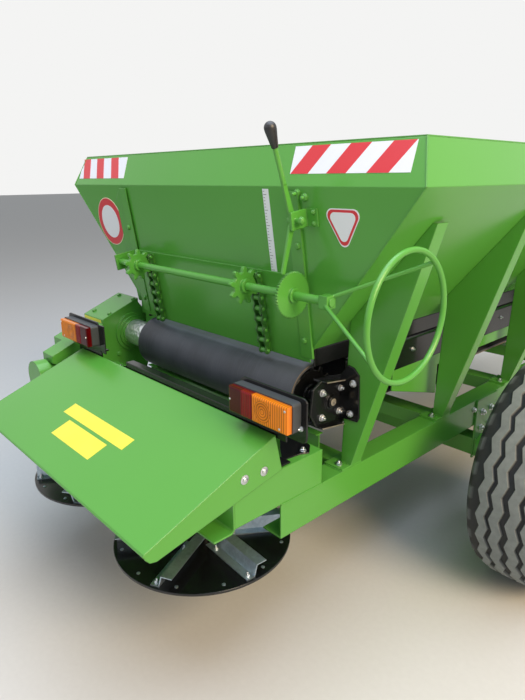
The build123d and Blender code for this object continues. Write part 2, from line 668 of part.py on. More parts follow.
def wheel_hub():
    """The hub with its flange behind the dish, its wheel nuts and the grease cap."""
    section = [
        (-DISH_X - HUB_BACK, SPINDLE_R + 0.05), (-DISH_X - HUB_BACK, HUB_R - 12), (-14, HUB_R - 12),
        (-14, WHEEL_STUD_CIRCLE_R + 18),
        (0, WHEEL_STUD_CIRCLE_R + 18), (0, HUB_R - 12), (30, HUB_R - 16), (56, HUB_R - 24), (62, HUB_R - 34),
        (62, 0), (48, 0), (48, SPINDLE_R + 0.05),
    ]
    hub = revolve(make_face(Polyline(*section, close=True)), axis=Axis.X)
    return Pos(DISH_X, 0, 0) * hub


def wheel_nuts():
    """The nuts that hold the dish against the hub's flange."""
    nuts = []
    for index in range(WHEEL_STUDS):
        nut = extrude(RegularPolygon(13, 6), amount=14)
        placed = Pos(DISH_X + 8, 0, WHEEL_STUD_CIRCLE_R) * Rot(0, 90, 0) * nut
        nuts.append(Rot(360 / WHEEL_STUDS * index, 0, 0) * placed)
    return nuts


def make_wheels():
    place = Pos(TRACK / 2, AXLE_Y, TYRE_R)
    right = {
        "tyre": [tyre()],
        "wheel_rim": [wheel_rim()],
        "wheel_hub": [wheel_hub(), *wheel_nuts()],
    }
    for name, shapes in right.items():
        save(f"{name}_right", *[place * shape for shape in shapes])
        save(f"{name}_left", *[mirrored(place * shape) for shape in shapes])


def make_carrier():
    top = RAIL_TOP_Z + ARM_HEIGHT
    inner_x = RAIL_OUTER_X - ARM_WIDTH
    arm = block((inner_x, RAIL_OUTER_X), (ARM_REAR_Y, ARM_FRONT_Y), (RAIL_TOP_Z, top))
    arm -= block((inner_x + TUBE_WALL, RAIL_OUTER_X - TUBE_WALL), (ARM_REAR_Y - 1, ARM_FRONT_Y - TUBE_WALL),
                 (RAIL_TOP_Z + TUBE_WALL, top - TUBE_WALL))
    save("carrier_arms", arm, mirrored(arm))

    low = RAIL_TOP_Z - 13
    high = low + CROSSBAR_HEIGHT
    front = ARM_REAR_Y
    rear = front - CROSSBAR_DEPTH
    t = CROSSBAR_WALL
    bend = 12
    outer = [
        (rear, high), (front - bend, high), (front, high - bend), (front, low + bend), (front - bend, low), (rear, low),
    ]
    inner = [
        (rear, low + t), (front - bend, low + t), (front - t, low + bend), (front - t, high - bend),
        (front - bend, high - t), (rear, high - t),
    ]
    save("carrier_crossbar", profile_x(outer + inner, -RAIL_OUTER_X, RAIL_OUTER_X))

    plate_y = (DISC_Y - GEAR_PLATE_DEPTH / 2, DISC_Y + GEAR_PLATE_DEPTH / 2)
    plate_x = RAIL_OUTER_X - 26
    plate = block((-plate_x, plate_x), plate_y, (RAIL_TOP_Z - GEAR_PLATE, RAIL_TOP_Z))
    for sign in (-1, 1):
        plate -= Pos(sign * DISC_X, DISC_Y, RAIL_TOP_Z) * Cylinder(DISC_SHAFT_R + 12, 40)
    save("gear_plate", plate)


def make_disc_drive():
    boxes = []
    for sign in (-1, 1):
        x = sign * DISC_X
        body = block((x - 60, x + 60), (DISC_Y - 60, DISC_Y + 60), (RAIL_TOP_Z, RAIL_TOP_Z + 96))
        body = fillet(body.edges().filter_by(Axis.Z), 18)
        body -= rod((x, DISC_Y, RAIL_TOP_Z - 1), (x, DISC_Y, RAIL_TOP_Z + 60), DISC_SHAFT_R + 0.05)
        boxes.append(body)
    save("disc_gearboxes", *boxes)

    centre = block((-75, 75), (DISC_Y - 62, DISC_Y + 70), (RAIL_TOP_Z, RAIL_TOP_Z + 100))
    centre = fillet(centre.edges().filter_by(Axis.Z), 20)
    centre += rod((0, DISC_Y + 70, DRIVE_Z), (0, DISC_Y + 96, DRIVE_Z), 40)
    centre -= rod((0, DISC_Y + 20, DRIVE_Z), (0, DISC_Y + 100, DRIVE_Z), DRIVE_R + 0.05)
    for sign in (-1, 1):
        centre += rod_x(sign * 74, sign * (DISC_X - 60), DISC_Y, DRIVE_Z, 24)
    save("centre_gearbox", centre)

    start = DISC_Y + 22
    stub = HOPPER_LENGTH + RAIL_FRONT_OVERHANG + 60
    shaft = rod((0, start, DRIVE_Z), (0, stub, DRIVE_Z), DRIVE_R)
    shaft += rod((0, stub - 1, DRIVE_Z), (0, stub + STUB_LENGTH, DRIVE_Z), STUB_R)
    for y in (CROSS_Y[0] + SLEEVE_OFFSET, CROSS_Y[-1] - SLEEVE_OFFSET):
        shaft += rod((0, y - 45, DRIVE_Z), (0, y + 45, DRIVE_Z), 30)
    save("drive_shaft", shaft)

    supports = []
    for y in (CROSS_Y[1], CROSS_Y[3], CROSS_Y[4]):
        support = block((-50, 50), (y - 22, y + 22), (RAIL_TOP_Z, DRIVE_Z))
        support += rod((0, y - 22, DRIVE_Z), (0, y + 22, DRIVE_Z), 40)
        support -= rod((0, y - 30, DRIVE_Z), (0, y + 30, DRIVE_Z), DRIVE_R + 0.05)
        supports.append(support)
    save("shaft_bearings", *supports)


def vane(angle):
    """A folded strip with a foot on the disc, an upright web and a top flange."""
    length = VANE_OUTER_R - VANE_INNER_R
    t = VANE_SHEET
    section = [
        (-VANE_FOOT, 0), (0, 0), (10, VANE_HEIGHT - t), (10 + VANE_FLANGE, VANE_HEIGHT - t),
        (10 + VANE_FLANGE, VANE_HEIGHT), (10 - t, VANE_HEIGHT), (-t, t), (-VANE_FOOT, t),
    ]
    face = make_face(Plane.YZ * Polyline(*section, close=True))
    strip = extrude(face, amount=length, dir=(1, 0, 0))
    return Rot(0, 0, angle) * Pos(VANE_INNER_R, 0, 0) * strip


def make_discs():
    plate = Pos(0, 0, -DISC_PLATE / 2) * Cylinder(DISC_R, DISC_PLATE)
    ring = Cylinder(DISC_R, DISC_RIM_DROP) - Cylinder(DISC_R - DISC_PLATE, DISC_RIM_DROP)
    disc = plate + Pos(0, 0, -DISC_RIM_DROP / 2) * ring
    disc += Pos(0, 0, -22) * Cylinder(48, 36)
    shaft_top = RAIL_TOP_Z + 55 - DISC_TOP_Z
    disc += rod((0, 0, -10), (0, 0, shaft_top), DISC_SHAFT_R)
    disc += Pos(0, 0, 10) * Cylinder(34, 20)
    place = Pos(DISC_X, DISC_Y, DISC_TOP_Z)
    vanes = [vane(VANE_FIRST_ANGLE + 360 / VANES * index) for index in range(VANES)]
    save("disc_right", place * disc)
    save("disc_vanes_right", *[place * one for one in vanes])
    save("disc_left", mirrored(place * disc))
    save("disc_vanes_left", *[mirrored(place * one) for one in vanes])


def make_cover():
    """The folded sheet over the discs with its two side plates."""
    t = COVER_SHEET
    slope = atan2(COVER_TOP_Z - COVER_TIP_Z, COVER_TOP_Y - COVER_TIP_Y)
    down = (t * sin(slope), -t * cos(slope))
    top = [
        (COVER_TOP_Y, COVER_TOP_Z), (COVER_TIP_Y, COVER_TIP_Z),
        (COVER_TIP_Y + down[0], COVER_TIP_Z + down[1]), (COVER_TOP_Y + down[0], COVER_TOP_Z + down[1]),
    ]
    sheet = profile_x(top, -COVER_HALF_WIDTH, COVER_HALF_WIDTH)
    lip = rod_x(-COVER_HALF_WIDTH, COVER_HALF_WIDTH, COVER_TIP_Y + down[0], COVER_TIP_Z + down[1] - 1, COVER_LIP)
    side_outline = [
        (COVER_TOP_Y, COVER_TOP_Z), (COVER_TIP_Y, COVER_TIP_Z), (COVER_TIP_Y + 3, COVER_TIP_Z - 16),
        (COVER_TIP_Y + 16, COVER_TIP_Z - 31), (COVER_TIP_Y + 36, COVER_TIP_Z - 36), (-160, RAIL_TOP_Z + ARM_HEIGHT),
    ]
    side = profile_x(side_outline, RAIL_OUTER_X, COVER_HALF_WIDTH)
    save("disc_cover", sheet + lip + side + mirrored(side))


def make_lamps():
    back_y = LAMP_BAR_Y
    front_y = back_y + LAMP_BAR_THICKNESS
    strip_z = (COVER_TOP_Z - LAMP_STRIP_DOWN, COVER_TOP_Z + LAMP_STRIP_UP)
    end_x = LAMP_X + LAMP_PLATE_HALF / 2
    plate_z = (LAMP_Z - LAMP_PLATE_DOWN, LAMP_Z + LAMP_PLATE_UP)
    bars = []
    for x in ((-end_x, LAMP_STRIP_GAP[0]), (LAMP_STRIP_GAP[1], end_x)):
        bar = block(x, (back_y, front_y), strip_z)
        bar += block(x, (back_y, back_y + LAMP_STRIP_FOLD), (strip_z[1] - LAMP_BAR_THICKNESS, strip_z[1]))
        sign = 1 if x[1] > 0 else -1
        centre = sign * (LAMP_X + 10)
        plate = block((centre - LAMP_PLATE_HALF, centre + LAMP_PLATE_HALF), (back_y, front_y), plate_z)
        bar += fillet(plate.edges().filter_by(Axis.Y), 16)
        arm_top = RAIL_TOP_Z + ARM_HEIGHT
        foot = sign * (RAIL_OUTER_X - ARM_WIDTH / 2)
        foot_x = (foot - LAMP_FOOT_HALF, foot + LAMP_FOOT_HALF)
        bar += block(foot_x, (back_y, front_y), (arm_top, strip_z[1]))
        bar += block(foot_x, (back_y, back_y + LAMP_FOOT_DEPTH), (arm_top, arm_top + LAMP_BAR_THICKNESS))
        bars.append(bar)
    save("lamp_bar", *bars)

    housings, reds, ambers = [], [], []
    for sign in (-1, 1):
        centre = Pos(sign * LAMP_X, 0, LAMP_Z)
        shell_y = (back_y - LAMP_DEPTH + LENS_DEPTH, back_y)
        shell = block((-LAMP_LENGTH / 2, LAMP_LENGTH / 2), shell_y, (-LAMP_HEIGHT / 2, LAMP_HEIGHT / 2))
        shell = fillet(shell.edges().filter_by(Axis.Y), 10)
        housings.append(centre * shell)
        lens_y = (back_y - LAMP_DEPTH, back_y - LAMP_DEPTH + LENS_DEPTH)
        split = LAMP_LENGTH * (RED_SHARE - 0.5)
        red = block((-LAMP_LENGTH / 2 + 4, split), lens_y, (-LAMP_HEIGHT / 2 + 4, LAMP_HEIGHT / 2 - 4))
        amber = block((split, LAMP_LENGTH / 2 - 4), lens_y, (-LAMP_HEIGHT / 2 + 4, LAMP_HEIGHT / 2 - 4))
        if sign > 0:
            reds.append(centre * red)
            ambers.append(centre * amber)
        else:
            reds.append(centre * mirrored(red))
            ambers.append(centre * mirrored(amber))
    save("lamp_housings", *housings)
    save("lamp_lenses_red", *reds)
    save("lamp_lenses_amber", *ambers)


def link_outline():
    """A chain link plate: two round ends, here of four facets each, round neighbouring rollers."""
    ends = []
    for centre, first in ((CHAIN_PITCH / 2, -90), (-CHAIN_PITCH / 2, 90)):
        for step in range(5):
            angle = radians(first + 45 * step)
            ends.append((centre + CHAIN_PLATE_R * cos(angle), CHAIN_PLATE_R * sin(angle)))
    return ends


def prism_x(x0, x1, y, z, radius, sides):
    """A bar along X with flat sides."""
    points = []
    for index in range(sides):
        angle = 2 * pi * (index + 0.5) / sides
        points.append((y + radius * cos(angle), z + radius * sin(angle)))
    return profile_x(points, x0, x1)


def chain_rack(x):
    """A length of roller chain welded on its bar, in pitch with the sprocket."""
    first = SHAFT_V - CHAIN_PITCH * CHAIN_ROLLERS_BELOW
    stations = [first + CHAIN_PITCH * index for index in range(CHAIN_ROLLERS)]
    half = CHAIN_INNER_HALF
    bar_v = (stations[0] - CHAIN_BAR_MARGIN, stations[-1] + CHAIN_BAR_MARGIN)
    rack = block((x - CHAIN_BAR_HALF, x + CHAIN_BAR_HALF), bar_v, (GATE_FACE_W, GATE_FACE_W + CHAIN_BAR))
    reach = half + 2 * CHAIN_PLATE + 1
    for v in stations:
        rack += prism_x(x - half, x + half, v, PITCH_LINE_W, CHAIN_ROLLER_R, 8)
        rack += prism_x(x - reach, x + reach, v, PITCH_LINE_W, CHAIN_PIN_R, 6)
    for index, v in enumerate(stations[1:]):
        layer = half if index % 2 else half + CHAIN_PLATE
        side = Plane(origin=(0, v - CHAIN_PITCH / 2, PITCH_LINE_W), x_dir=(0, 1, 0), z_dir=(1, 0, 0))
        plate = extrude(side * make_face(Polyline(*link_outline(), close=True)), amount=CHAIN_PLATE, dir=(1, 0, 0))
        for start in (x + layer, x - layer - CHAIN_PLATE):
            rack += Pos(start, 0, 0) * plate
    return WALL_PLANE * rack


def sprocket(x):
    """A nine-tooth wheel whose teeth stand between the chain's rollers."""
    root = PITCH_R - CHAIN_ROLLER_R - 2.5
    tip = PITCH_R + 7.0
    wheel = Cylinder(root, SPROCKET_THICKNESS)
    for index in range(SPROCKET_TEETH):
        tooth = Polyline((root - 6, -9.5), (PITCH_R, -7.5), (tip, -3.2), (tip, 3.2), (PITCH_R, 7.5), (root - 6, 9.5), close=True)
        solid = extrude(make_face(tooth), amount=SPROCKET_THICKNESS / 2, both=True)
        wheel += Rot(0, 0, 360 / SPROCKET_TEETH * index) * solid
    wheel += Cylinder(SHAFT_R + 10, SPROCKET_THICKNESS + 24)
    wheel -= Cylinder(SHAFT_R + 0.05, 100)
    # The first tooth points straight at the wall
    turned = Plane(origin=(x, SHAFT_V, SHAFT_W), x_dir=(0, 0, -1), z_dir=(1, 0, 0)) * wheel
    return WALL_PLANE * turned


def make_gate():
    plate = wall_block((-GATE_HALF_WIDTH, GATE_HALF_WIDTH), (BASE_V + 4, GATE_TOP_V), (GATE_CLEARANCE, GATE_FACE_W))
    save("gate_plate", plate)
    save("gate_racks", *[chain_rack(x) for x in RACK_X])

    guides = []
    lip_w = (GATE_FACE_W + GATE_CLEARANCE, GATE_FACE_W + GATE_CLEARANCE + GUIDE_SHEET)
    v = (BASE_V + 20, GUIDE_TOP_V)
    web_x = GUIDE_OUTER_X - GUIDE_SHEET
    for sign in (-1, 1):
        guide = wall_block(sorted((sign * web_x, sign * GUIDE_OUTER_X)), v, (0, lip_w[1]))
        guide += wall_block(sorted((sign * (GUIDE_OUTER_X - GUIDE_LIP), sign * GUIDE_OUTER_X)), v, lip_w)
        guides.append(guide)
    wing = [
        (-GUIDE_OUTER_X - WING_WIDTH, SHAFT_V - 50), (-GUIDE_OUTER_X - WING_WIDTH, GUIDE_TOP_V - 46),
        (-GUIDE_OUTER_X - 6, GUIDE_TOP_V), (-GUIDE_OUTER_X, GUIDE_TOP_V), (-GUIDE_OUTER_X, SHAFT_V - 50),
    ]
    guides[0] += WALL_PLANE * extrude(make_face(Polyline(*wing, close=True)), amount=GUIDE_SHEET, dir=(0, 0, 1))
    save("gate_guides", *guides)


def make_lift():
    axis = on_wall(0, SHAFT_V, SHAFT_W)
    y, z = axis[1], axis[2]
    shaft = rod_x(SHAFT_LEFT_X, SHAFT_RIGHT_X, y, z, SHAFT_R)
    save("lift_shaft", shaft)
    save("lift_sprockets", *[sprocket(x) for x in RACK_X])

    disc = Cylinder(RATCHET_R - RATCHET_TOOTH, RATCHET_THICKNESS)
    for index in range(RATCHET_TEETH):
        root = RATCHET_R - RATCHET_TOOTH - 1
        tooth = Polyline((root, -4.2), (RATCHET_R, 0), (root, 4.2), close=True)
        solid = extrude(make_face(tooth), amount=RATCHET_THICKNESS / 2, both=True)
        disc += Rot(0, 0, 360 / RATCHET_TEETH * index) * solid
    disc += Cylinder(SHAFT_R + 10, 26)
    disc -= Cylinder(SHAFT_R + 0.05, 100)
    save("ratchet_disc", Pos(RATCHET_X, y, z) * Rot(0, 90, 0) * disc)

    hub_x = SHAFT_RIGHT_X - 20
    wheel = block((hub_x - 16, hub_x + 16), (y - 19, y + 19), (z - 19, z + 19))
    wheel -= rod_x(hub_x - 30, hub_x + 30, y, z, SHAFT_R + 0.05)
    tube = [(WHEEL_TUBE_R * cos(pi / 4 * k), WHEEL_R + WHEEL_TUBE_R * sin(pi / 4 * k)) for k in range(8)]
    ring = revolve(make_face(Polyline(*tube, close=True)), axis=Axis.X)
    wheel += Pos(WHEEL_X, y, z) * ring
    for angle in SPOKE_ANGLES:
        a = radians(angle)
        reach = (cos(a), sin(a))
        start = (hub_x, y + 18 * reach[0], z + 18 * reach[1])
        end = (WHEEL_X, y + WHEEL_R * reach[0], z + WHEEL_R * reach[1])
        wheel += rod(start, end, SPOKE_R)
    save("handwheel", wheel)

    brackets = []
    lip_w = GATE_FACE_W + GATE_CLEARANCE + GUIDE_SHEET
    for x in (-BRACKET_X, BRACKET_X):
        ear = wall_block((x - 4, x + 4), (SHAFT_V - 32, SHAFT_V + 32), (lip_w, SHAFT_W + 24))
        ear += rod_x(x - 4, x + 4, y, z, SHAFT_R + 9)
        ear -= rod_x(x - 30, x + 30, y, z, SHAFT_R + 0.05)
        brackets.append(ear)
    save("lift_bearings", *brackets)

    pivot = on_wall(RATCHET_X, PAWL_PIVOT_V, PAWL_PIVOT_W)
    px, py, pz = pivot
    tip_angle = radians(122)
    reach = RATCHET_R + PAWL_CLEARANCE
    tip = (y + reach * cos(tip_angle), z + reach * sin(tip_angle))
    knob_top = Vector(px, LEVER_KNOB_Y, LEVER_KNOB_Z)
    pivot_point = Vector(px, py, pz)
    along = (knob_top - pivot_point).normalized()
    grip = pivot_point + along * LEVER_BAR
    knob_start = knob_top - along * (KNOB_LENGTH - KNOB_R)
    lever = rod_x(px - 6, px + 6, py, pz, 15)
    lever += flat_bar(px, (py, pz), (grip.Y, grip.Z), 22, 8)
    lever += flat_bar(px, (py, pz), tip, 20, 8)
    lever += rod(tuple(grip - along * 14), tuple(knob_start), 7)
    lever -= rod_x(px - 30, px + 30, py, pz, 8.05)
    save("pawl_lever", lever)
    top = KNOB_LENGTH - KNOB_R
    section = [(0, 0), (9, 0), (KNOB_R, top - 18), (KNOB_R, top - 4), (KNOB_R * 0.7, top + 7), (0, top + 11)]
    knob = revolve(make_face(Plane.XZ * Polyline(*section, close=True)), axis=Axis.Z)
    save("lever_knob", Plane(origin=knob_start, z_dir=along) * knob)
    stand = rod_x(px - 6, px + 34, py, pz, 8)
    stand += wall_block((px + 8, px + 16), (PAWL_PIVOT_V - 26, PAWL_PIVOT_V + 26), (0, PAWL_PIVOT_W + 20))
    stand += wall_block((px + 8, px + 56), (PAWL_PIVOT_V - 26, PAWL_PIVOT_V + 26), (0, 5))
    save("lever_bracket", stand)


def flat_bar(x, start, end, width, thickness, taper=0.6):
    """A flat bar in a YZ plane between two points, drawn in towards its end by the taper."""
    dy, dz = end[0] - start[0], end[1] - start[1]
    length = hypot(dy, dz)
    ny, nz = -dz / length * width / 2, dy / length * width / 2
    outline = [
        (start[0] + ny, start[1] + nz), (end[0] + ny * taper, end[1] + nz * taper),
        (end[0] - ny * taper, end[1] - nz * taper), (start[0] - ny, start[1] - nz),
    ]
    return profile_x(outline, x - thickness / 2, x + thickness / 2)


def case_top_z(y):
    """The height of the belt drive's sloping top."""
    return CASE_TOP_FRONT[1] + CASE_SLOPE * (y - CASE_TOP_FRONT[0])


def make_belt_drive():
    """The belt's gearbox with its lid and flange, its arm to the rear and the small motor below that."""
    outer_x = CASE_INNER_X - CASE_WIDTH
    low = RAIL_TOP_Z + 30
    outline = [
        CASE_TOP_FRONT, (CASE_STEP_Y, case_top_z(CASE_STEP_Y)), (CASE_STEP_Y, low + 70), (-120, low),
        (60, low), (CASE_FRONT_Y - 46, CASE_LOW_Z), (CASE_FRONT_Y, CASE_LOW_Z + 120),
        (CASE_FRONT_Y, CASE_TOP_FRONT[1] - 88),
    ]
    case = profile_x(outline, outer_x, CASE_INNER_X)
    rear_y = CASE_TOP_FRONT[0] - CASE_LID_LENGTH
    lid = [
        (CASE_TOP_FRONT[0], case_top_z(CASE_TOP_FRONT[0])), (rear_y, case_top_z(rear_y)),
        (rear_y, case_top_z(rear_y) + CASE_LID), (CASE_TOP_FRONT[0], case_top_z(CASE_TOP_FRONT[0]) + CASE_LID),
    ]
    case += profile_x(lid, outer_x, CASE_INNER_X)
    arm = [
        (CASE_STEP_Y + 1, case_top_z(CASE_STEP_Y + 1)), (CASE_ARM_END_Y, case_top_z(CASE_ARM_END_Y)),
        (CASE_ARM_END_Y, case_top_z(CASE_ARM_END_Y) - CASE_ARM_DEPTH[0]),
        (CASE_STEP_Y + 1, case_top_z(CASE_STEP_Y + 1) - CASE_ARM_DEPTH[1]),
    ]
    case += profile_x(arm, CASE_INNER_X - CASE_ARM_WIDTH, CASE_INNER_X)
    for radius, depth in CASE_FLANGES:
        case += rod_x(CASE_INNER_X - 1, CASE_INNER_X + depth, DRUM_REAR_Y, DRUM_AXIS_Z, radius)
    bore_end = CASE_INNER_X + CASE_FLANGES[-1][1] + 1
    case -= rod_x(CASE_INNER_X - 21, bore_end, DRUM_REAR_Y, DRUM_AXIS_Z, DRUM_SHAFT_R + 0.05)
    case += block((CASE_INNER_X, -RAIL_OUTER_X), (-60, ARM_FRONT_Y), (low, RAIL_TOP_Z + ARM_HEIGHT - 10))
    save("belt_drive_case", case)

    motor_x = CASE_INNER_X - MOTOR_OFFSET
    cap_y = MOTOR_REAR_Y + MOTOR_CAP
    motor = rod((motor_x, MOTOR_REAR_Y, MOTOR_Z), (motor_x, CASE_STEP_Y, MOTOR_Z), MOTOR_R)
    motor += rod((motor_x, MOTOR_REAR_Y, MOTOR_Z), (motor_x, cap_y, MOTOR_Z), MOTOR_CAP_R)
    save("belt_drive_gear", motor - case)


def make_drawbar():
    """The A-shaped drawbar under the rails, its head, the towing eye and the parking jack."""
    top = RAIL_TOP_Z - RAIL_HEIGHT
    z = (top - DRAWBAR_TUBE_H, top)
    head_y = HOPPER_LENGTH + DRAWBAR_REACH - DRAWBAR_HEAD_BACK
    rear_x = RAIL_OUTER_X - RAIL_WIDTH / 2

    def beam(inset, z0, z1):
        half = DRAWBAR_TUBE_W / 2 - inset
        plan = [
            (rear_x + half, DRAWBAR_REAR_Y + inset), (DRAWBAR_HEAD_X + half, head_y - inset),
            (DRAWBAR_HEAD_X - half, head_y - inset), (rear_x - half, DRAWBAR_REAR_Y + inset),
        ]
        return extrude(Pos(0, 0, z0) * make_face(Polyline(*plan, close=True)), amount=z1 - z0, dir=(0, 0, 1))

    solid = beam(0, *z)
    arm = solid - beam(TUBE_WALL, z[0] + TUBE_WALL, z[1] - TUBE_WALL)
    save("drawbar_arms", arm, mirrored(arm))

    eye_y = HOPPER_LENGTH + DRAWBAR_REACH
    eye_z = (z[0] + z[1]) / 2
    neck_y = head_y + DRAWBAR_HEAD_DEPTH
    width = DRAWBAR_HEAD_X + DRAWBAR_TUBE_W / 2
    head = block((-width, width), (head_y, neck_y), z)
    head -= block((-width + 8, width - 8), (head_y - 1, neck_y - 12), (z[0] + 8, z[1] - 8))
    save("drawbar_head", head)
    ring = Cylinder(EYE_R, EYE_THICKNESS) - Cylinder(EYE_BORE_R, EYE_THICKNESS)
    eye = Pos(0, eye_y, eye_z) * ring
    eye += block((-25, 25), (neck_y, eye_y - EYE_R + 6), (eye_z - 15, eye_z + 15))
    eye += block((-46, 46), (neck_y, neck_y + 12), (eye_z - 32, eye_z + 32))
    save("drawbar_eye", eye)

    jack_y = eye_y - JACK_BACK
    jack = rod((JACK_X, jack_y, 120), (JACK_X, jack_y, JACK_TOP_Z), JACK_TUBE_R)
    jack += rod((JACK_X, jack_y, 10), (JACK_X, jack_y, 130), JACK_TUBE_R - 7)
    jack += rod((JACK_X, jack_y, 0), (JACK_X, jack_y, 10), JACK_FOOT_R)
    arm_x = DRAWBAR_HEAD_X + (rear_x - DRAWBAR_HEAD_X) * (head_y - jack_y) / (head_y - DRAWBAR_REAR_Y)
    jack += block((arm_x, JACK_X), (jack_y - 35, jack_y + 35), (z[0] + 8, z[1] - 8))
    save("jack", jack - solid)


def main():
    os.makedirs("parts", exist_ok=True)
    make_hopper()
    make_frame()
    make_ribs()
    make_belt()
    make_bearings()
    make_axle()
    make_wheels()
    make_carrier()
    make_disc_drive()
    make_discs()
    make_cover()
    make_lamps()
    make_gate()
    make_lift()
    make_belt_drive()
    make_drawbar()


main()
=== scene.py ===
from math import atan2, cos, hypot, pi, radians, sin, tan

import bmesh
import bpy
from mathutils import Matrix, Vector


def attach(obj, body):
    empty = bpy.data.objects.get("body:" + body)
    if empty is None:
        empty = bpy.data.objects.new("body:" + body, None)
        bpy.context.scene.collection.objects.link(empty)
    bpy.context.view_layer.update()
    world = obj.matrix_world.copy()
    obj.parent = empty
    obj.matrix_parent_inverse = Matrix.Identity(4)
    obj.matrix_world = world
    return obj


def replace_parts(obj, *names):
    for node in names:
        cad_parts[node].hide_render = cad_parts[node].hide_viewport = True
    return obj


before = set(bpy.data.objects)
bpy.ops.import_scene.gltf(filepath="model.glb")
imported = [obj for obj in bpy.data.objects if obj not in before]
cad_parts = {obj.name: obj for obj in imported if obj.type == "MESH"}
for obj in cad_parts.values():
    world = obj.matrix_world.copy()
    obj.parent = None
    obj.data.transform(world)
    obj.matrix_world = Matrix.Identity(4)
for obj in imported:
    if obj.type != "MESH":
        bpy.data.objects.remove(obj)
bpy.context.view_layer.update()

# Chassis
# Two channels with folded cross members, legs and welded axle plates, in mild steel.
# The weldment is blasted and sprayed with one thick coat of gloss green alkyd enamel.


def linear(text):
    """The linear colour of an sRGB hex value."""
    parts = [int(text[i : i + 2], 16) / 255 for i in (1, 3, 5)]
    return [c / 12.92 if c <= 0.04045 else ((c + 0.055) / 1.055) ** 2.4 for c in parts] + [1]


def join(tree, node, links):
    """Sets inputs of a node, each to a socket or to a value."""
    for key, value in links.items():
        if isinstance(value, bpy.types.NodeSocket):
            tree.links.new(value, node.inputs[key])
        else:
            node.inputs[key].default_value = value


def add_node(tree, kind, settings=None, links=None):
    """One node: settings are its own properties, links its inputs as sockets or values."""
    node = tree.nodes.new(kind)
    for name, value in (settings or {}).items():
        setattr(node, name, value)
    join(tree, node, links or {})
    return node


def start_material(name):
    """An empty material with its shader: the tree, the shader and the place on the piece in metres."""
    material = bpy.data.materials.new(name)
    material.use_nodes = True
    tree = material.node_tree
    tree.nodes.clear()
    shader = add_node(tree, "ShaderNodeBsdfPrincipled")
    add_node(tree, "ShaderNodeOutputMaterial", links={"Surface": shader.outputs["BSDF"]})
    place = add_node(tree, "ShaderNodeTexCoord").outputs["Object"]
    return material, tree, shader, place


def mottle(tree, place, size, detail, dark, pale):
    """Noise with cells of this size in metres, and the colour that follows it from dark to pale."""
    noise = add_node(tree, "ShaderNodeTexNoise", links={"Vector": place, "Scale": 1 / size, "Detail": detail})
    colour = add_node(tree, "ShaderNodeMix", {"data_type": "RGBA"}, {
        "Factor": noise.outputs["Fac"], "A": linear(dark), "B": linear(pale)})
    return noise.outputs["Fac"], colour.outputs["Result"]


def finish(tree, shader, links, relief=None, under=None):
    """Sets the shader's inputs, with a relief of (height, depth in metres, strength) over one under it."""
    join(tree, shader, links)
    if relief:
        bump = add_node(tree, "ShaderNodeBump", links=dict(zip(("Height", "Distance", "Strength"), relief)))
        if under:
            join(tree, bump, {"Normal": under})
        join(tree, shader, {"Normal": bump.outputs["Normal"]})


def coat(material, *names):
    """Gives CAD nodes this finish."""
    for name in names:
        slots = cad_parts[name].data.materials
        slots.clear()
        slots.append(material)


def gloss_enamel(name, body, tone, roughness):
    """Sprayed alkyd enamel: a full gloss film that shows a fine orange peel and the sheet's slow waves."""
    material, tree, shader, place = start_material(name)
    _, colour = mottle(tree, place, 0.7, 3, body, tone)
    # Orange peel has cells of about 4 mm, drawn here at 9 mm so that it shows from 3 m away
    peel = add_node(tree, "ShaderNodeTexNoise", links={"Vector": place, "Scale": 1 / 0.009, "Detail": 2})
    # Cold-rolled sheet is out of flat by about 1 mm over 400 mm
    wave = add_node(tree, "ShaderNodeTexNoise", links={"Vector": place, "Scale": 1 / 0.4, "Detail": 1})
    # A thick coat rounds each edge off to about 5 mm
    rounded = add_node(tree, "ShaderNodeBevel", {"samples": 6}, {"Radius": 0.005})
    slow = add_node(tree, "ShaderNodeBump", links={
        "Height": wave.outputs["Fac"], "Distance": 0.002, "Strength": 0.6,
        "Normal": rounded.outputs["Normal"]})
    finish(tree, shader, {"Base Color": colour, "Roughness": roughness, "IOR": 1.5},
           (peel.outputs["Fac"], 0.0003, 0.25), slow.outputs["Normal"])
    return material


green_enamel = gloss_enamel("gloss_green_alkyd_enamel", "#4e9737", "#58a141", 0.22)
coat(green_enamel, "frame_rails", "frame_cross_members", "hopper_ribs", "axle_brackets", "axle_beam")

REAR = -1.7775  # the hopper's rear crease, from which lengths along the machine are measured
RAIL_X, RAIL_TOP, AXLE_PLATE_X = 0.601, 0.576, 0.609
LEGS = (
    # the leg's plate ahead of the crease, the way that its edge is folded
    (0.174, 1), (0.765, 1), (1.372, 1), (2.035, -1), (2.626, -1),
)
RAIL_BEADS = (
    # both ends: out from the machine's middle, ahead of the crease, above the rail's top
    ((RAIL_X, -0.160, 0), (RAIL_X, 0.025, 0)),
    ((0.5415, 0.026, 0.001), (0.600, 0.026, 0.001)),
    ((RAIL_X, 0.026, 0), (RAIL_X, 0.026, 0.002)),
)
AXLE_PLATE_BEAD = ((AXLE_PLATE_X, 1.058, -0.002), (AXLE_PLATE_X, 1.238, -0.002))
LEG_BEADS = (
    # start and end out from the machine's middle, ahead of the leg's plate, above the rail's top
    (0.530, 0.598, -0.045, 0.001), (0.530, 0.598, 0.060, 0.001), (0.562, 0.592, 0, 0.009),
)


def at(x, y, z):
    """A point of the machine from its distance ahead of the hopper's rear crease."""
    return Vector((x, y + REAR, z))


def circle(count, first=0.0):
    """Angles set evenly round a circle."""
    return [first + 2 * pi * k / count for k in range(count)]


def band(bm, low, high, closed=True):
    """The faces between two rows of points, which are rings unless they are open."""
    if closed:
        low, high = low + low[:1], high + high[:1]
    return [bm.faces.new(corners) for corners in zip(low, low[1:], high[1:], high)]


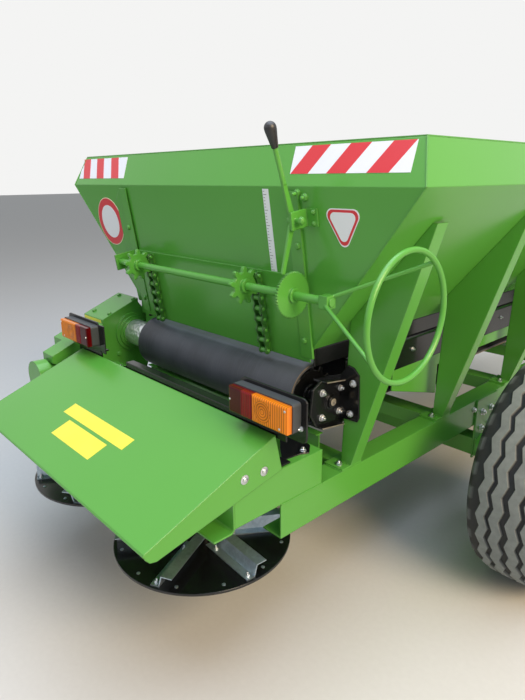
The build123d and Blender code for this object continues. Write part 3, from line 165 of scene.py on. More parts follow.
def turned(bm, profile, where, sides, first=0.0):
    """A profile of (radius, height) turned about the Z axis of where."""
    rings = []
    for radius, height in profile:
        ring = [Vector((radius * cos(a), radius * sin(a), height)) for a in circle(sides, first)]
        rings.append([bm.verts.new(where @ point) for point in ring])
    for low, high in zip(rings, rings[1:]):
        band(bm, low, high)
    bm.faces.new(rings[-1])
    bm.faces.new(reversed(rings[0]))


def facing(point, normal, turn=0.0):
    """The place whose Z axis points along normal."""
    spin = Vector(normal).to_track_quat("Z", "Y").to_matrix().to_4x4()
    return Matrix.Translation(point) @ spin @ Matrix.Rotation(turn, 4, "Z")


def hex_bolt(bm, point, normal, across, stud=0.0, turn=0.4):
    """A hexagon head on its washer, with the end of the stud if it is a nut."""
    where = facing(point, normal, turn)
    r = across / 2 / cos(pi / 6)
    turned(bm, [(across * 0.66, 0), (across * 0.66, 0.0016), (across * 0.62, 0.0020)], where, 20)
    turned(bm, [(r, 0.0018), (r, across * 0.40), (r * 0.86, across * 0.46)], where, 6)
    if stud:
        turned(bm, [(across * 0.27, 0.002), (across * 0.27, stud - 0.001), (across * 0.22, stud)], where, 12)


def tube(bm, points, radius, sides=10, closed=False, ripple=0.0):
    """A round bar along points; ripple makes it swell at every second one, as a weld bead does."""
    points = [Vector(p) for p in points]
    count = len(points)
    rings, up = [], None
    for k, point in enumerate(points):
        ahead = points[(k + 1) % count] if closed or k + 1 < count else point
        behind = points[k - 1] if closed or k else point
        along = (ahead - behind).normalized()
        up = along.orthogonal().normalized() if up is None else (up - along * up.dot(along)).normalized()
        across = along.cross(up)
        r = radius * (1 + ripple * (-1) ** k)
        rings.append([bm.verts.new(point + (up * cos(a) + across * sin(a)) * r) for a in circle(sides)])
    for k in range(count if closed else count - 1):
        band(bm, rings[k], rings[(k + 1) % count])
    if not closed:
        bm.faces.new(reversed(rings[0]))
        bm.faces.new(rings[-1])


def bead(bm, start, end, radius=0.003):
    """A weld bead with a ripple about every 6 mm."""
    start, end = Vector(start), Vector(end)
    steps = max(2, int((end - start).length / 0.006))
    tube(bm, [start.lerp(end, k / steps) for k in range(steps + 1)], radius, 6, ripple=0.12)


def add_object(name, data):
    """An object in the scene."""
    thing = bpy.data.objects.new(name, data)
    bpy.context.scene.collection.objects.link(thing)
    return thing


def fit(name, bm, material, body="frame", angle=35, normals=True):
    """Turns the mesh into a piece that rides on a body, with smooth faces between its sharp edges."""
    if normals:
        bmesh.ops.recalc_face_normals(bm, faces=bm.faces)
    mesh = bpy.data.meshes.new(name)
    bm.to_mesh(mesh)
    bm.free()
    mesh.polygons.foreach_set("use_smooth", [True] * len(mesh.polygons))
    mesh.set_sharp_from_angle(angle=radians(angle))
    for one in material if isinstance(material, (list, tuple)) else [material]:
        mesh.materials.append(one)
    piece = add_object(name, mesh)
    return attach(piece, body)


beads = list(RAIL_BEADS)
for y, way in LEGS:
    for start, end, edge, rise in LEG_BEADS:
        beads.append(((start, y + way * edge, rise), (end, y + way * edge, rise)))
beads.append(AXLE_PLATE_BEAD)
welds = bmesh.new()
for side in (-1, 1):
    for ends in beads:
        bead(welds, *(at(side * x, y, RAIL_TOP + rise) for x, y, rise in ends))
fit("chassis_welds", welds, green_enamel)

# Chassis bolts
# Grade 8.8 hexagon bolts that hold the hopper's legs and the axle plates to the rails.
# Their steel is electroplated with zinc, a thin bright film with a faint blue-grey cast.


def two_tone(name, dark, pale, spread, detail, constants, grain=None):
    """A finish mottled in patches of this spread; its grain is (cell size, detail, depth, strength)."""
    material, tree, shader, place = start_material(name)
    _, colour = mottle(tree, place, spread, detail, dark, pale)
    relief = None
    if grain:
        size, steps, depth, strength = grain
        cells = add_node(tree, "ShaderNodeTexNoise", links={
            "Vector": place, "Scale": 1 / size, "Detail": steps})
        relief = (cells.outputs["Fac"], depth, strength)
    finish(tree, shader, {"Base Color": colour, **constants}, relief)
    return material


# The film is crystalline at a few micrometres; its cloudiness is drawn at 3 mm so that it shows
zinc_plate = two_tone("bright_zinc_plated_steel", "#b9bdc2", "#e4e7ea", 0.003, 3,
                      {"Metallic": 1, "Roughness": 0.28})

M8, M10, M12, M14, M16 = 0.013, 0.017, 0.019, 0.022, 0.024  # across the flats
FOOT_BOLT_X, FOOT_TOP, FOOT_BOLT_EDGES = 0.567, RAIL_TOP + 0.008, (-0.022, 0.036)
RAIL_BOLT_Y, RAIL_BOLT_Z = 1.04, 0.535
AXLE_PLATE_BOLTS = (
    # ahead of the crease, height
    (1.11, 0.509), (1.19, 0.509), (1.11, 0.432), (1.19, 0.432),
)
bolts = bmesh.new()
for side in (-1, 1):
    for y, way in LEGS:
        for edge in FOOT_BOLT_EDGES:
            hex_bolt(bolts, at(side * FOOT_BOLT_X, y + way * edge, FOOT_TOP), (0, 0, 1), M12, 0.014)
    hex_bolt(bolts, at(side * RAIL_X, RAIL_BOLT_Y, RAIL_BOLT_Z), (side, 0, 0), M12, 0.012)
    for y, z in AXLE_PLATE_BOLTS:
        hex_bolt(bolts, at(side * AXLE_PLATE_X, y, z), (side, 0, 0), M16, 0.018)
fit("chassis_bolts", bolts, zinc_plate)

# Hopper
# Four 4 mm sheets bent once at the crease and seam-welded at the slanting corners, with a folded lip.
# The seams are ground and enamelled over, so each corner shows as a soft raised line.
coat(green_enamel, "hopper_wall_rear", "hopper_wall_front", "hopper_wall_right", "hopper_wall_left",
     "hopper_rim")

HOPPER_LENGTH, SEAM_R = 2.8, 0.0022
BASE_Z, CREASE_Z, RIM_Z = 0.945, 1.500, 1.617
BASE_X, CREASE_X, RIM_X = 0.459, 0.919, 0.879
BASE_RUN, RIM_RUN = 0.086, 0.053  # how far the end wall has come in there

wall_tilt = atan2(BASE_RUN, CREASE_Z - BASE_Z)
wall_up = Vector((0, -sin(wall_tilt), cos(wall_tilt)))
wall_out = Vector((0, -cos(wall_tilt), -sin(wall_tilt)))


def on_rear_wall(u, v, w=0.0):
    """u across, v above the crease and w out of the wall below it."""
    return at(u, 0, CREASE_Z) + wall_up * v + wall_out * w


seams = bmesh.new()
for side in (-1, 1):
    for end in (0, 1):
        corner = []
        for x, run, z in ((BASE_X, BASE_RUN, BASE_Z), (CREASE_X, 0, CREASE_Z), (RIM_X, RIM_RUN, RIM_Z)):
            corner.append(at(side * x, HOPPER_LENGTH - run if end else run, z))
        bead(seams, corner[0], corner[1], SEAM_R)
        bead(seams, corner[1], corner[2], SEAM_R)
fit("hopper_corner_seams", seams, green_enamel)

# Belt tray
# Folded 5 mm side sheets, a bed plate, stiffening beams and skirts round the floor belt.
# All but the green beams are stove-enamelled in gloss black before they are bolted in.
black_enamel = gloss_enamel("gloss_black_stoving_enamel", "#0b0c0e", "#131517", 0.2)
coat(black_enamel, "belt_bed", "belt_sides", "belt_skirts", "bearing_plates", "return_rollers")
coat(green_enamel, "belt_beams")

TRAY_X, TRAY_BOLT_Z, TRAY_BOLTS, TRAY_BOLT_FIRST, TRAY_BOLT_STEP = 0.512, 0.88, 9, 0.40, 0.25
tray_bolts = bmesh.new()
for side in (-1, 1):
    for k in range(TRAY_BOLTS):
        y = TRAY_BOLT_FIRST + TRAY_BOLT_STEP * k
        hex_bolt(tray_bolts, at(side * TRAY_X, y, TRAY_BOLT_Z), (side, 0, 0), M8, 0.012)
fit("belt_tray_bolts", tray_bolts, zinc_plate)

# Floor belt
# An endless two-ply conveyor belt of black rubber, calendered smooth and 10 mm thick.
# The rubber is dull slate grey, with scuffs along its travel and pale lime dust rubbed into it.
belt_rubber, tree, shader, place = start_material("calendered_conveyor_rubber")
# Scuffs run with the belt, about 3 mm wide and 120 mm long
lengthwise = add_node(tree, "ShaderNodeMapping", links={
    "Vector": place, "Scale": (1 / 0.003, 1 / 0.12, 1 / 0.12)})
scuff = add_node(tree, "ShaderNodeTexNoise", links={
    "Vector": lengthwise.outputs["Vector"], "Scale": 1, "Detail": 4})
dust = add_node(tree, "ShaderNodeTexNoise", links={"Vector": place, "Scale": 1 / 0.16, "Detail": 5})
grey = add_node(tree, "ShaderNodeValToRGB", links={"Fac": dust.outputs["Fac"]})
for stop, position, tone in zip(grey.color_ramp.elements, (0.3, 0.72), ("#2b2f36", "#454a52")):
    stop.position, stop.color = position, linear(tone)
pale_share = add_node(tree, "ShaderNodeMapRange", links={
    "Value": scuff.outputs["Fac"], "From Min": 0.55, "From Max": 0.8, "To Max": 0.25})
colour = add_node(tree, "ShaderNodeMix", {"data_type": "RGBA"}, {
    "Factor": pale_share.outputs["Result"], "A": grey.outputs["Color"], "B": linear("#6f747a")})
# The calender leaves a cloth imprint of 1.2 mm threads, drawn at 4 mm so that it shows
weave = add_node(tree, "ShaderNodeTexNoise", links={"Vector": place, "Scale": 1 / 0.004, "Detail": 2})
finish(tree, shader, {"Base Color": colour.outputs["Result"], "Roughness": 0.55, "IOR": 1.52},
       (weave.outputs["Fac"], 0.0004, 0.4))
coat(belt_rubber, "floor_belt")

# The belt's cut edge shows its canvas plies as a thin line of tan cotton.
# The plies' threads stand 1.5 mm apart, drawn at 6 mm so that they show
canvas = two_tone("cut_cotton_canvas", "#5e4e3c", "#9c8669", 0.006, 3, {"Roughness": 0.85})
DRUM_Y, DRUM_FRONT_Y, DRUM_Z = 0.120, 2.680, 0.820
BELT_X, PLIES_R, CANVAS_R, HALF_TURN_STEPS = 0.470, 0.108, 0.0012, 24
canvas_edges = bmesh.new()
for side in (-1, 1):
    route = []
    for middle, first in ((DRUM_Y, 90), (DRUM_FRONT_Y, 270)):
        for k in range(HALF_TURN_STEPS + 1):
            a = radians(first + 180 * k / HALF_TURN_STEPS)
            route.append(at(side * BELT_X, middle + PLIES_R * cos(a), DRUM_Z + PLIES_R * sin(a)))
    tube(canvas_edges, route, CANVAS_R, 6, closed=True)
fit("belt_canvas_edges", canvas_edges, canvas)

# Drums
# Cage drums of square bars on turned shafts, all in black; the drive shaft under them is bare steel.
# Turned mild steel keeps fine grooves round the shaft that streak its highlights.
turned_steel, tree, shader, place = start_material("turned_mild_steel")
# The tool leaves a groove every 0.3 mm, drawn at 1.5 mm along the shaft so that it shows
along = add_node(tree, "ShaderNodeMapping", links={"Vector": place, "Scale": (1 / 0.0015, 12, 12)})
groove, steel = mottle(tree, along.outputs["Vector"], 1, 2, "#8f9296", "#d3d5d7")
finish(tree, shader, {"Base Color": steel, "Metallic": 1, "Roughness": 0.34}, (groove, 0.0003, 0.5))
coat(black_enamel, "drum_rear", "drum_front")
coat(turned_steel, "drive_shaft")

# The sleeve between the belt drive and the rear drum is brushed with hammer finish, which draws
# itself into dimples about 5 mm across, drawn at 12 mm so that they show
hammered_silver, tree, shader, place = start_material("hammered_silver_paint")
dimple = add_node(tree, "ShaderNodeTexVoronoi", {"feature": "SMOOTH_F1"}, {
    "Vector": place, "Scale": 1 / 0.012})
finish(tree, shader, {"Base Color": linear("#d6dadb"), "Metallic": 0.75, "Roughness": 0.3},
       (dimple.outputs["Distance"], 0.006, 0.9))
SLEEVE_X, SLEEVE_R, SLEEVE_LENGTH = -0.672, 0.0607, 0.193
sleeve = bmesh.new()
sleeve_start = Matrix.Translation(at(SLEEVE_X, DRUM_Y, DRUM_Z)) @ Matrix.Rotation(pi / 2, 4, "Y")
turned(sleeve, [
    (SLEEVE_R - 0.0005, 0), (SLEEVE_R, 0.001), (SLEEVE_R, SLEEVE_LENGTH - 0.001),
    (SLEEVE_R - 0.0005, SLEEVE_LENGTH)], sleeve_start, 72)
fit("drive_sleeve", sleeve, hammered_silver)

# Bearing plates
# Each drum shaft runs in a four-bolt flange bearing on a pressed plate, its edges folded outward.
# The plate's end is folded out too and bolted to the leg. All is black but the zinc-plated bolts.
# The enamel draws back from a sheared edge and leaves it bare in stretches of about 20 mm
sheared_edge = two_tone("sheared_steel_edge", "#6d675c", "#b7b0a2", 0.02, 3,
                        {"Metallic": 0.5, "Roughness": 0.4})

PLATE_X, PLATE_TILT, LEG_Y = 0.548, radians(7.5), 0.174
PLATE_FOLDS = (
    # start of the fold behind the drum's axis, its height, its thickness
    (-0.055, 0.074, -0.004), (-0.051, -0.086, 0.004),
)
FLANGE_BOLTS = (
    # ahead of the drum's axis, above it
    (-0.041, 0.039), (0.050, 0.035), (0.044, -0.047), (-0.042, -0.047),
)
END_FLANGE = (
    # out from the machine's middle, height
    (0.5485, 0.905), (0.577, 0.940), (0.601, 0.935), (0.623, 0.913), (0.630, 0.768),
    (0.622, 0.752), (0.5485, 0.748),
)
END_FLANGE_THICKNESS, END_FLANGE_BOLTS = 0.005, ((0.601, 0.882), (0.593, 0.774))
SHAFT_PROUD = 0.012
SHAFT_END = (
    # sides, then radius and height of each ring: the shaft and the centre-drilled screw in it
    (24, ((0.0125, 0), (0.0125, 0.002), (0.0105, 0.003))),
    (6, ((0.0055, 0.003), (0.0050, 0.007), (0.0030, 0.010))),
)


def slab(bm, corners, offset, bare=(), index=0, under=True):
    """A plate from its outline and an offset, with these of its edges bare, and its underside or not."""
    low = [bm.verts.new(Vector(p)) for p in corners]
    high = [bm.verts.new(Vector(p) + Vector(offset)) for p in corners]
    faces = [bm.faces.new(high)]
    if under:
        faces.append(bm.faces.new(reversed(low)))
    edges = band(bm, low, high)
    for face in faces + edges:
        face.material_index = index
    for k in bare:
        edges[k].material_index = 1


plate_folds, plate_bolts, shaft_ends = bmesh.new(), bmesh.new(), bmesh.new()
for side, axis_y, ahead in ((1, DRUM_Y, 1), (1, DRUM_FRONT_Y, -1), (-1, DRUM_FRONT_Y, -1)):
    leg_y = axis_y + ahead * (LEG_Y - DRUM_Y)
    for start, high, thick in PLATE_FOLDS:
        end = (LEG_Y - DRUM_Y - high * sin(PLATE_TILT)) / cos(PLATE_TILT)
        outline = []
        for out, y in ((0, start), (0.018, start + 0.006), (0.020, end), (0, end)):
            along = y * cos(PLATE_TILT) + high * sin(PLATE_TILT)
            above = high * cos(PLATE_TILT) - y * sin(PLATE_TILT)
            outline.append(at(side * (PLATE_X + out), axis_y + ahead * along, DRUM_Z + above))
        slab(plate_folds, outline, (0, 0, thick), (1,))
    flange = [at(side * x, leg_y, z) for x, z in END_FLANGE]
    slab(plate_folds, flange, (0, -END_FLANGE_THICKNESS * ahead, 0))
    for dy, dz in FLANGE_BOLTS:
        place = at(side * PLATE_X, axis_y + ahead * dy, DRUM_Z + dz)
        hex_bolt(plate_bolts, place, (side, 0, 0), M12, 0.016)
    for x, z in END_FLANGE_BOLTS:
        place = at(side * x, leg_y - END_FLANGE_THICKNESS * ahead, z)
        hex_bolt(plate_bolts, place, (0, -ahead, 0), M12, 0.014)
    where = facing(at(side * (PLATE_X + SHAFT_PROUD), axis_y, DRUM_Z), (side, 0, 0))
    for sides, profile in SHAFT_END:
        turned(shaft_ends, profile, where, sides)
fit("bearing_plate_folds", plate_folds, (black_enamel, sheared_edge))
fit("bearing_bolts", plate_bolts, zinc_plate)
fit("shaft_ends", shaft_ends, sheared_edge)

# Wheels
# Implement tyres with four zigzag ribs on pressed rims. Moulded rubber, dark in the grooves and on the
# shoulders, and paler grey on the rib tops and the lug ends.
AXLE_Y, AXLE_X, TYRE_R = 0.922, 0.992, 0.4445
ZIGZAGS, STEPS_PER_ZIGZAG, SWING, FIRST_ZIGZAG = 30, 8, 0.0075, radians(7)
GROOVE_DEPTH, GROOVE_SLOPE, LUG_HEIGHT, LUG_PALENESS = 0.011, 0.004, 0.004, 0.55
GROOVES = (
    # middle of the groove across the tread, half its width at the top
    (-0.0365, 0.0095), (0.0175, 0.0125), (0.0715, 0.0095),
)
TREAD_ENDS = (
    # edge of the ribs across the tread, how far out the shoulder starts
    (-0.075, -0.004), (0.105, 0.004),
)
SHOULDER_DEPTH, INNER_SHOULDER = 0.010, (-0.100, 0.4310, 0)
TYRE_WALL = (
    # out from the middle, radius, whether a lug end stands there
    (0.1160, 0.4255, 1), (0.1280, 0.4120, 1), (0.1365, 0.3980, 0), (0.1440, 0.3790, 0),
    (0.1490, 0.3620, 0), (0.1485, 0.3600, 0), (0.1530, 0.3350, 0), (0.1535, 0.3150, 0),
    (0.1515, 0.2900, 0), (0.1460, 0.2660, 0), (0.1475, 0.2630, 0), (0.1400, 0.2400, 0),
    (0.1280, 0.2200, 0), (0.1150, 0.2100, 0), (0.1130, 0.2070, 0), (0.1130, 0.1960, 0),
    (0.1030, 0.1940, 0),
)

tyre_rubber, tree, shader, place = start_material("moulded_tyre_rubber")
# Dust lies in patches of about 25 mm and as a fine grain, drawn at 2 mm so that it shows
dust, rubber = mottle(tree, place, 0.025, 5, "#17191b", "#2c2e30")
rib_top_grey = add_node(tree, "ShaderNodeMix", {"data_type": "RGBA"}, {
    "Factor": dust, "A": linear("#666c6d"), "B": linear("#8a908f")})
grain = add_node(tree, "ShaderNodeTexNoise", links={"Vector": place, "Scale": 1 / 0.002, "Detail": 2})
paleness = add_node(tree, "ShaderNodeAttribute", {"attribute_name": "paleness"})
colour = add_node(tree, "ShaderNodeMix", {"data_type": "RGBA"}, {
    "Factor": paleness.outputs["Fac"], "A": rubber, "B": rib_top_grey.outputs["Result"]})
finish(tree, shader, {"Base Color": colour.outputs["Result"], "Roughness": 0.72, "IOR": 1.52},
       (grain.outputs["Fac"], 0.0006, 0.5))


def crown(x):
    """The tread's radius across the tyre, slightly crowned."""
    return TYRE_R - 0.005 * (x / 0.1) ** 2


def tyre(name, side):
    """The tyre with its zigzag ribs cut into the crown, and lug ends round both shoulders."""
    bm = bmesh.new()
    pale_share = bm.verts.layers.float.new("paleness")
    columns = []  # place across, depth of cut, paleness
    for middle, half in GROOVES:
        floor_half = half - GROOVE_SLOPE
        columns += [(middle + dx, 0, 1) for dx in (-half, half)]
        columns += [(middle + dx, GROOVE_DEPTH, 0) for dx in (-floor_half, floor_half)]
    for edge, out in TREAD_ENDS:
        columns += [(edge, 0, 1), (edge + out, SHOULDER_DEPTH, 0)]
    columns.sort()
    rings = []
    for k, a in enumerate(circle(ZIGZAGS * STEPS_PER_ZIGZAG, FIRST_ZIGZAG)):
        phase = (k / STEPS_PER_ZIGZAG) % 1
        swing = SWING * (abs(4 * phase - 2) - 1)
        lug = LUG_HEIGHT if k % STEPS_PER_ZIGZAG < STEPS_PER_ZIGZAG / 2 else 0.0
        wall =[(x, r + w * lug * 0.5, LUG_PALENESS * w * (lug > 0)) for x, r, w in TYRE_WALL]
        ring = [(-x, r, tone) for x, r, tone in reversed(wall)] + [INNER_SHOULDER]
        ring +=[(x + swing, crown(x) - depth, tone) for x, depth, tone in columns]
        verts = []
        for x, r, tone in ring + wall:
            vert = bm.verts.new((side * (AXLE_X + x), AXLE_Y + REAR + r * sin(a), TYRE_R + r * cos(a)))
            vert[pale_share] = tone
            verts.append(vert)
        rings.append(verts)
    for low, high in zip(rings, rings[1:] + rings[:1]):
        band(bm, low, high, closed=False)
    piece = fit(name, bm, tyre_rubber, f"wheel_{name[5:]}", 28)
    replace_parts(piece, name)
    piece.name = f"{name}_ribbed"


tyre("tyre_right", 1)
tyre("tyre_left", -1)

# Rims and hubs
# Pressed steel rims, powder-coated in silver grey: a smooth, half-gloss film with a fine even grain.
# Road dust tones it in patches of 60 mm. Powder flows out to 1 mm, drawn at 3 mm so that it shows
silver_coat = two_tone("silver_powder_coat", "#b4b7b8", "#cfd1d1", 0.06, 4,
                       {"Roughness": 0.42, "IOR": 1.5}, (0.003, 2, 0.0002, 0.35))
coat(silver_coat, "wheel_rim_right", "wheel_rim_left")
coat(black_enamel, "wheel_hub_right", "wheel_hub_left")

# Disc carrier
# Box arms on the rails, a C-shaped crossbar and the plate under the gearboxes, all enamelled green.
# The gearboxes and bearings are bolted under the plate and were sprayed with it.
coat(green_enamel, "carrier_arms", "carrier_crossbar", "gear_plate", "centre_gearbox", "disc_gearboxes",
     "shaft_bearings")

# Spreading discs
# Black enamelled discs with a turned-down rim, each carrying six folded vanes of galvanised sheet.
# Hot-dip zinc freezes in flat spangles 8 to 15 mm wide, each with its own grey.
coat(black_enamel, "disc_right", "disc_left")
galvanised, tree, shader, place = start_material("hot_dip_galvanised_sheet")
spangle = add_node(tree, "ShaderNodeTexVoronoi", links={"Vector": place, "Scale": 1 / 0.011})
streak = add_node(tree, "ShaderNodeTexNoise", links={"Vector": place, "Scale": 1 / 0.05, "Detail": 4})
shade = add_node(tree, "ShaderNodeMix", {"data_type": "RGBA"}, {
    "Factor": spangle.outputs["Color"], "A": linear("#8c9cab"), "B": linear("#bccbd8")})
bloom = add_node(tree, "ShaderNodeMix", {"data_type": "RGBA"}, {
    "Factor": streak.outputs["Fac"], "A": shade.outputs["Result"], "B": linear("#a8b8c4")})
dull = add_node(tree, "ShaderNodeMapRange", links={
    "Value": spangle.outputs["Distance"], "From Max": 1.0, "To Min": 0.28, "To Max": 0.5})
finish(tree, shader, {
    "Base Color": bloom.outputs["Result"], "Roughness": dull.outputs["Result"], "Metallic": 0.85})
coat(galvanised, "disc_vanes_right", "disc_vanes_left")

DISC_X, DISC_Y, DISC_TOP = 0.319, -0.250, 0.378
VANES, FIRST_VANE, VANE_STEP, FOOT_OFFSET, FOOT_THICKNESS = 6, -64, 60, 0.016, 0.003
VANE_BOLT_R, PLUG_R, PLUG_STEPS = (0.100, 0.268), 0.268, (10, 40)
PLUG = ((0.006, 0), (0.006, 0.0012), (0.004, 0.002))  # radius, height
for side, name in ((1, "right"), (-1, "left")):
    bolts, plugs = bmesh.new(), bmesh.new()
    for k in range(VANES):
        angle = radians(FIRST_VANE + VANE_STEP * k)
        for r in VANE_BOLT_R:
            # Each foot lies beside its vane's web, on the trailing side
            x = r * cos(angle) + FOOT_OFFSET * sin(angle)
            y = r * sin(angle) - FOOT_OFFSET * cos(angle)
            foot = at(side * (DISC_X + x), DISC_Y + y, DISC_TOP + FOOT_THICKNESS)
            hex_bolt(bolts, foot, (0, 0, 1), M8, 0.014)
        for step in PLUG_STEPS:
            a = angle + radians(step)
            spot = at(side * (DISC_X + PLUG_R * cos(a)), DISC_Y + PLUG_R * sin(a), DISC_TOP)
            turned(plugs, PLUG, facing(spot, (0, 0, 1)), 12)
    fit(f"vane_bolts_{name}", bolts, zinc_plate, f"disc_{name}")
    fit(f"disc_plugs_{name}", plugs, galvanised, f"disc_{name}")

# Rear cover
# One sheet folded over the discs, with its side plates bolted to the carrier arms through big washers.
# The bolts have round heads and, like their washers, are plated with zinc.
coat(green_enamel, "disc_cover")
COVER_BOLT_X, COVER_BOLTS = 0.605, ((-0.307, 0.722), (-0.233, 0.720))
BIG_WASHER = ((0.0145, 0), (0.0145, 0.002), (0.013, 0.0025))  # radius, height
ROUND_HEAD = ((0.0085, 0.0025), (0.0080, 0.005), (0.0055, 0.0068), (0.002, 0.0072))
washers = bmesh.new()
for side in (-1, 1):
    for y, z in COVER_BOLTS:
        where = facing(at(side * COVER_BOLT_X, y, z), (side, 0, 0))
        turned(washers, BIG_WASHER, where, 28)
        turned(washers, ROUND_HEAD, where, 20)
fit("cover_bolts", washers, zinc_plate)

COVER_TOP, COVER_TIP = at(0, -0.187, 0.817), at(0, -0.636, 0.643)
cover_out = (COVER_TIP - COVER_TOP).normalized().cross(Vector((1, 0, 0)))


def on_cover(x, y):
    """The point of the cover's top face above a point at x across and y ahead of the crease."""
    share = (y + REAR - COVER_TOP.y) / (COVER_TIP.y - COVER_TOP.y)
    point = COVER_TOP.lerp(COVER_TIP, share)
    point.x = x
    return point


# Cover labels
# Blank labels of yellow calendered PVC film, on the cover and on the belt drive, slightly glossy.
# The adhesive leaves waves of about 12 mm under the film
yellow_film = two_tone("yellow_pvc_film", "#ddd23c", "#eae24e", 0.09, 2,
                       {"Roughness": 0.38, "IOR": 1.53}, (0.012, 2, 0.0004, 0.3))
LABEL_THICKNESS = 0.0006
COVER_LABELS = (
    # across from and to, ahead of the crease from and to
    (-0.227, 0.191, -0.408, -0.456), (-0.152, 0.119, -0.468, -0.538),
)
DRIVE_LABEL_Y, DRIVE_LABEL = -0.035, (-0.880, -0.716, 0.882, 0.896)


def sheet(bm, corners, thickness, normal, index=0):
    """A thin sheet over the corners, lying on the surface whose normal is given."""
    slab(bm, corners, Vector(normal).normalized() * thickness, index=index, under=False)


def patch(surface, u0, u1, v0, v1):
    """The corners of a rectangle on a surface."""
    return [surface(u0, v0), surface(u1, v0), surface(u1, v1), surface(u0, v1)]


labels = bmesh.new()
for label in COVER_LABELS:
    sheet(labels, patch(on_cover, *label), LABEL_THICKNESS, cover_out)
strip = patch(lambda x, z: at(x, DRIVE_LABEL_Y, z), *DRIVE_LABEL)
sheet(labels, strip, LABEL_THICKNESS, (0, -1, 0))
fit("cover_labels", labels, yellow_film, normals=False)

# Rear lamps
# Moulded ABS housings on black plates, with acrylic lenses: red with a reflector inboard, amber outboard.
# The lens mouldings are deep, glossy and fluted inside, which breaks up the light behind them; this is
# painted light, a colour painted brighter on the flutes and round the amber bulb.
# The housings' mould is spark-eroded to a grain of 0.1 mm, drawn at 1.5 mm so that it shows
grey_abs = two_tone("moulded_grey_abs", "#34383d", "#41464b", 0.03, 3,
                    {"Roughness": 0.5, "IOR": 1.54}, (0.0015, 2, 0.0002, 0.4))
coat(grey_abs, "lamp_housings")
coat(black_enamel, "lamp_bar")


def acrylic(name, deep, bright):
    """Dyed acrylic under a hard gloss: its deep colour, painted brighter by painted light on the flutes."""
    material, tree, shader, place = start_material(name)
    painted_light = add_node(tree, "ShaderNodeAttribute", {"attribute_name": "painted_light"})
    colour = add_node(tree, "ShaderNodeMix", {"data_type": "RGBA"}, {
        "Factor": painted_light.outputs["Fac"], "A": linear(deep), "B": linear(bright)})
    finish(tree, shader, {
        "Base Color": colour.outputs["Result"], "Roughness": 0.1, "IOR": 1.49, "Specular IOR Level": 0.25})
    return material


red_acrylic = acrylic("dyed_red_acrylic", "#270205", "#8a0d12")
amber_acrylic = acrylic("dyed_amber_acrylic", "#5c2000", "#ff9320")
LAMP_X, LAMP_Z, LAMP_BACK = 0.575, 0.902, -0.182
LAMP_HALF, LAMP_DEPTH, LENS_DEPTH = 0.125, 0.052, 0.020
LENS_HALF_Z, LENS_INSET, RED_END = 0.040, 0.004, -0.020
LENS_CELL, LENS_STEP, LENS_EDGE, SIDE_TONE = 0.0016, 0.002, (0.0, 0.0012, 0.0018), 0.4


def lens(name, side, u0, u1, relief, material, node):
    """A lens moulding: side walls round a front whose height and painted light come from relief."""
    bm = bmesh.new()
    painted_light = bm.verts.layers.float.new("painted_light")
    cols, rows = int((u1 - u0) / LENS_CELL), int(2 * LENS_HALF_Z / LENS_CELL)
    grid = []
    for j in range(rows + 1):
        row = []
        for i in range(cols + 1):
            u, v = u0 + (u1 - u0) * i / cols, -LENS_HALF_Z + 2 * LENS_HALF_Z * j / rows
            rise, tone = relief(u, v)
            edge = min(i, cols - i, j, rows - j)
            rise = LENS_EDGE[edge] if edge < len(LENS_EDGE) else LENS_STEP + rise
            front = LAMP_BACK - LAMP_DEPTH + LENS_STEP - rise
            vert = bm.verts.new(at(side * (LAMP_X + u), front, LAMP_Z + v))
            vert[painted_light] = tone
            row.append(vert)
        grid.append(row)
    for low, high in zip(grid, grid[1:]):
        band(bm, low, high, closed=False)
    right, left = [row[-1] for row in grid[1:]], [row[0] for row in grid[-2:0:-1]]
    rim = grid[0] + right + grid[-1][-2::-1] + left
    back = []
    for vert in rim:
        copy = bm.verts.new(vert.co + Vector((0, LENS_DEPTH - LENS_STEP, 0)))
        copy[painted_light] = SIDE_TONE
        back.append(copy)
    band(bm, rim, back)
    bm.faces.new(back)
    piece = fit(name, bm, material, angle=50)
    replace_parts(piece, node)


def red_relief(u, v):
    """A cube-corner reflector at the inner end, then upright flutes: the height and the painted light at a
    point.
    """
    if u < -0.068:
        cell = abs(((u / 0.006) % 1) - 0.5) + abs(((v / 0.006) % 1) - 0.5)
        return 0.0006 * cell, 0.12 + 0.1 * cell
    if u < -0.064:
        return 0, 0.3
    flute = abs(sin(pi * u / 0.0075))
    return 0.0014 * flute, 0.25 + 0.75 * flute


def amber_relief(u, v):
    """Upright flutes with a ring lens round the bulb: the height and the painted light at a point, with a
    painted glow round the bulb.
    """
    r = hypot(u - 0.025, v)
    if r < 0.032:
        # A painted glow, brightest just below the bulb's middle
        bulb = 0.25 * max(0.0, 1 - hypot(u - 0.025, v + 0.008) / 0.022)
        ring = abs(sin(pi * r / 0.008))
        return 0.0016 * ring, 0.15 + 0.6 * ring + bulb
    flute = abs(sin(pi * u / 0.0085))
    return 0.0014 * flute, 0.25 + 0.7 * flute


LENSES = (
    # colour, inner end, outer end, relief, material
    ("red", -LAMP_HALF + LENS_INSET, RED_END, red_relief, red_acrylic),
    ("amber", RED_END, LAMP_HALF - LENS_INSET, amber_relief, amber_acrylic),
)
for side, name in ((1, "right"), (-1, "left")):
    for hue, start, end, relief, dyed in LENSES:
        lens(f"{hue}_lens_{name}", side, start, end, relief, dyed, f"lamp_lenses_{hue}")

LENS_SCREWS = ((-0.114, 0.0), (0.094, -0.030), (0.114, 0.028))  # out from the lamp's middle, above it
SCREW_HEAD = ((0.0038, 0), (0.0036, 0.0012), (0.002, 0.0022))  # radius, height
screws = bmesh.new()
for side in (-1, 1):
    for u, v in LENS_SCREWS:
        spot = at(side * (LAMP_X + u), LAMP_BACK - LAMP_DEPTH - 0.0005, LAMP_Z + v)
        turned(screws, SCREW_HEAD, facing(spot, (0, -1, 0)), 16)
fit("lens_screws", screws, zinc_plate)

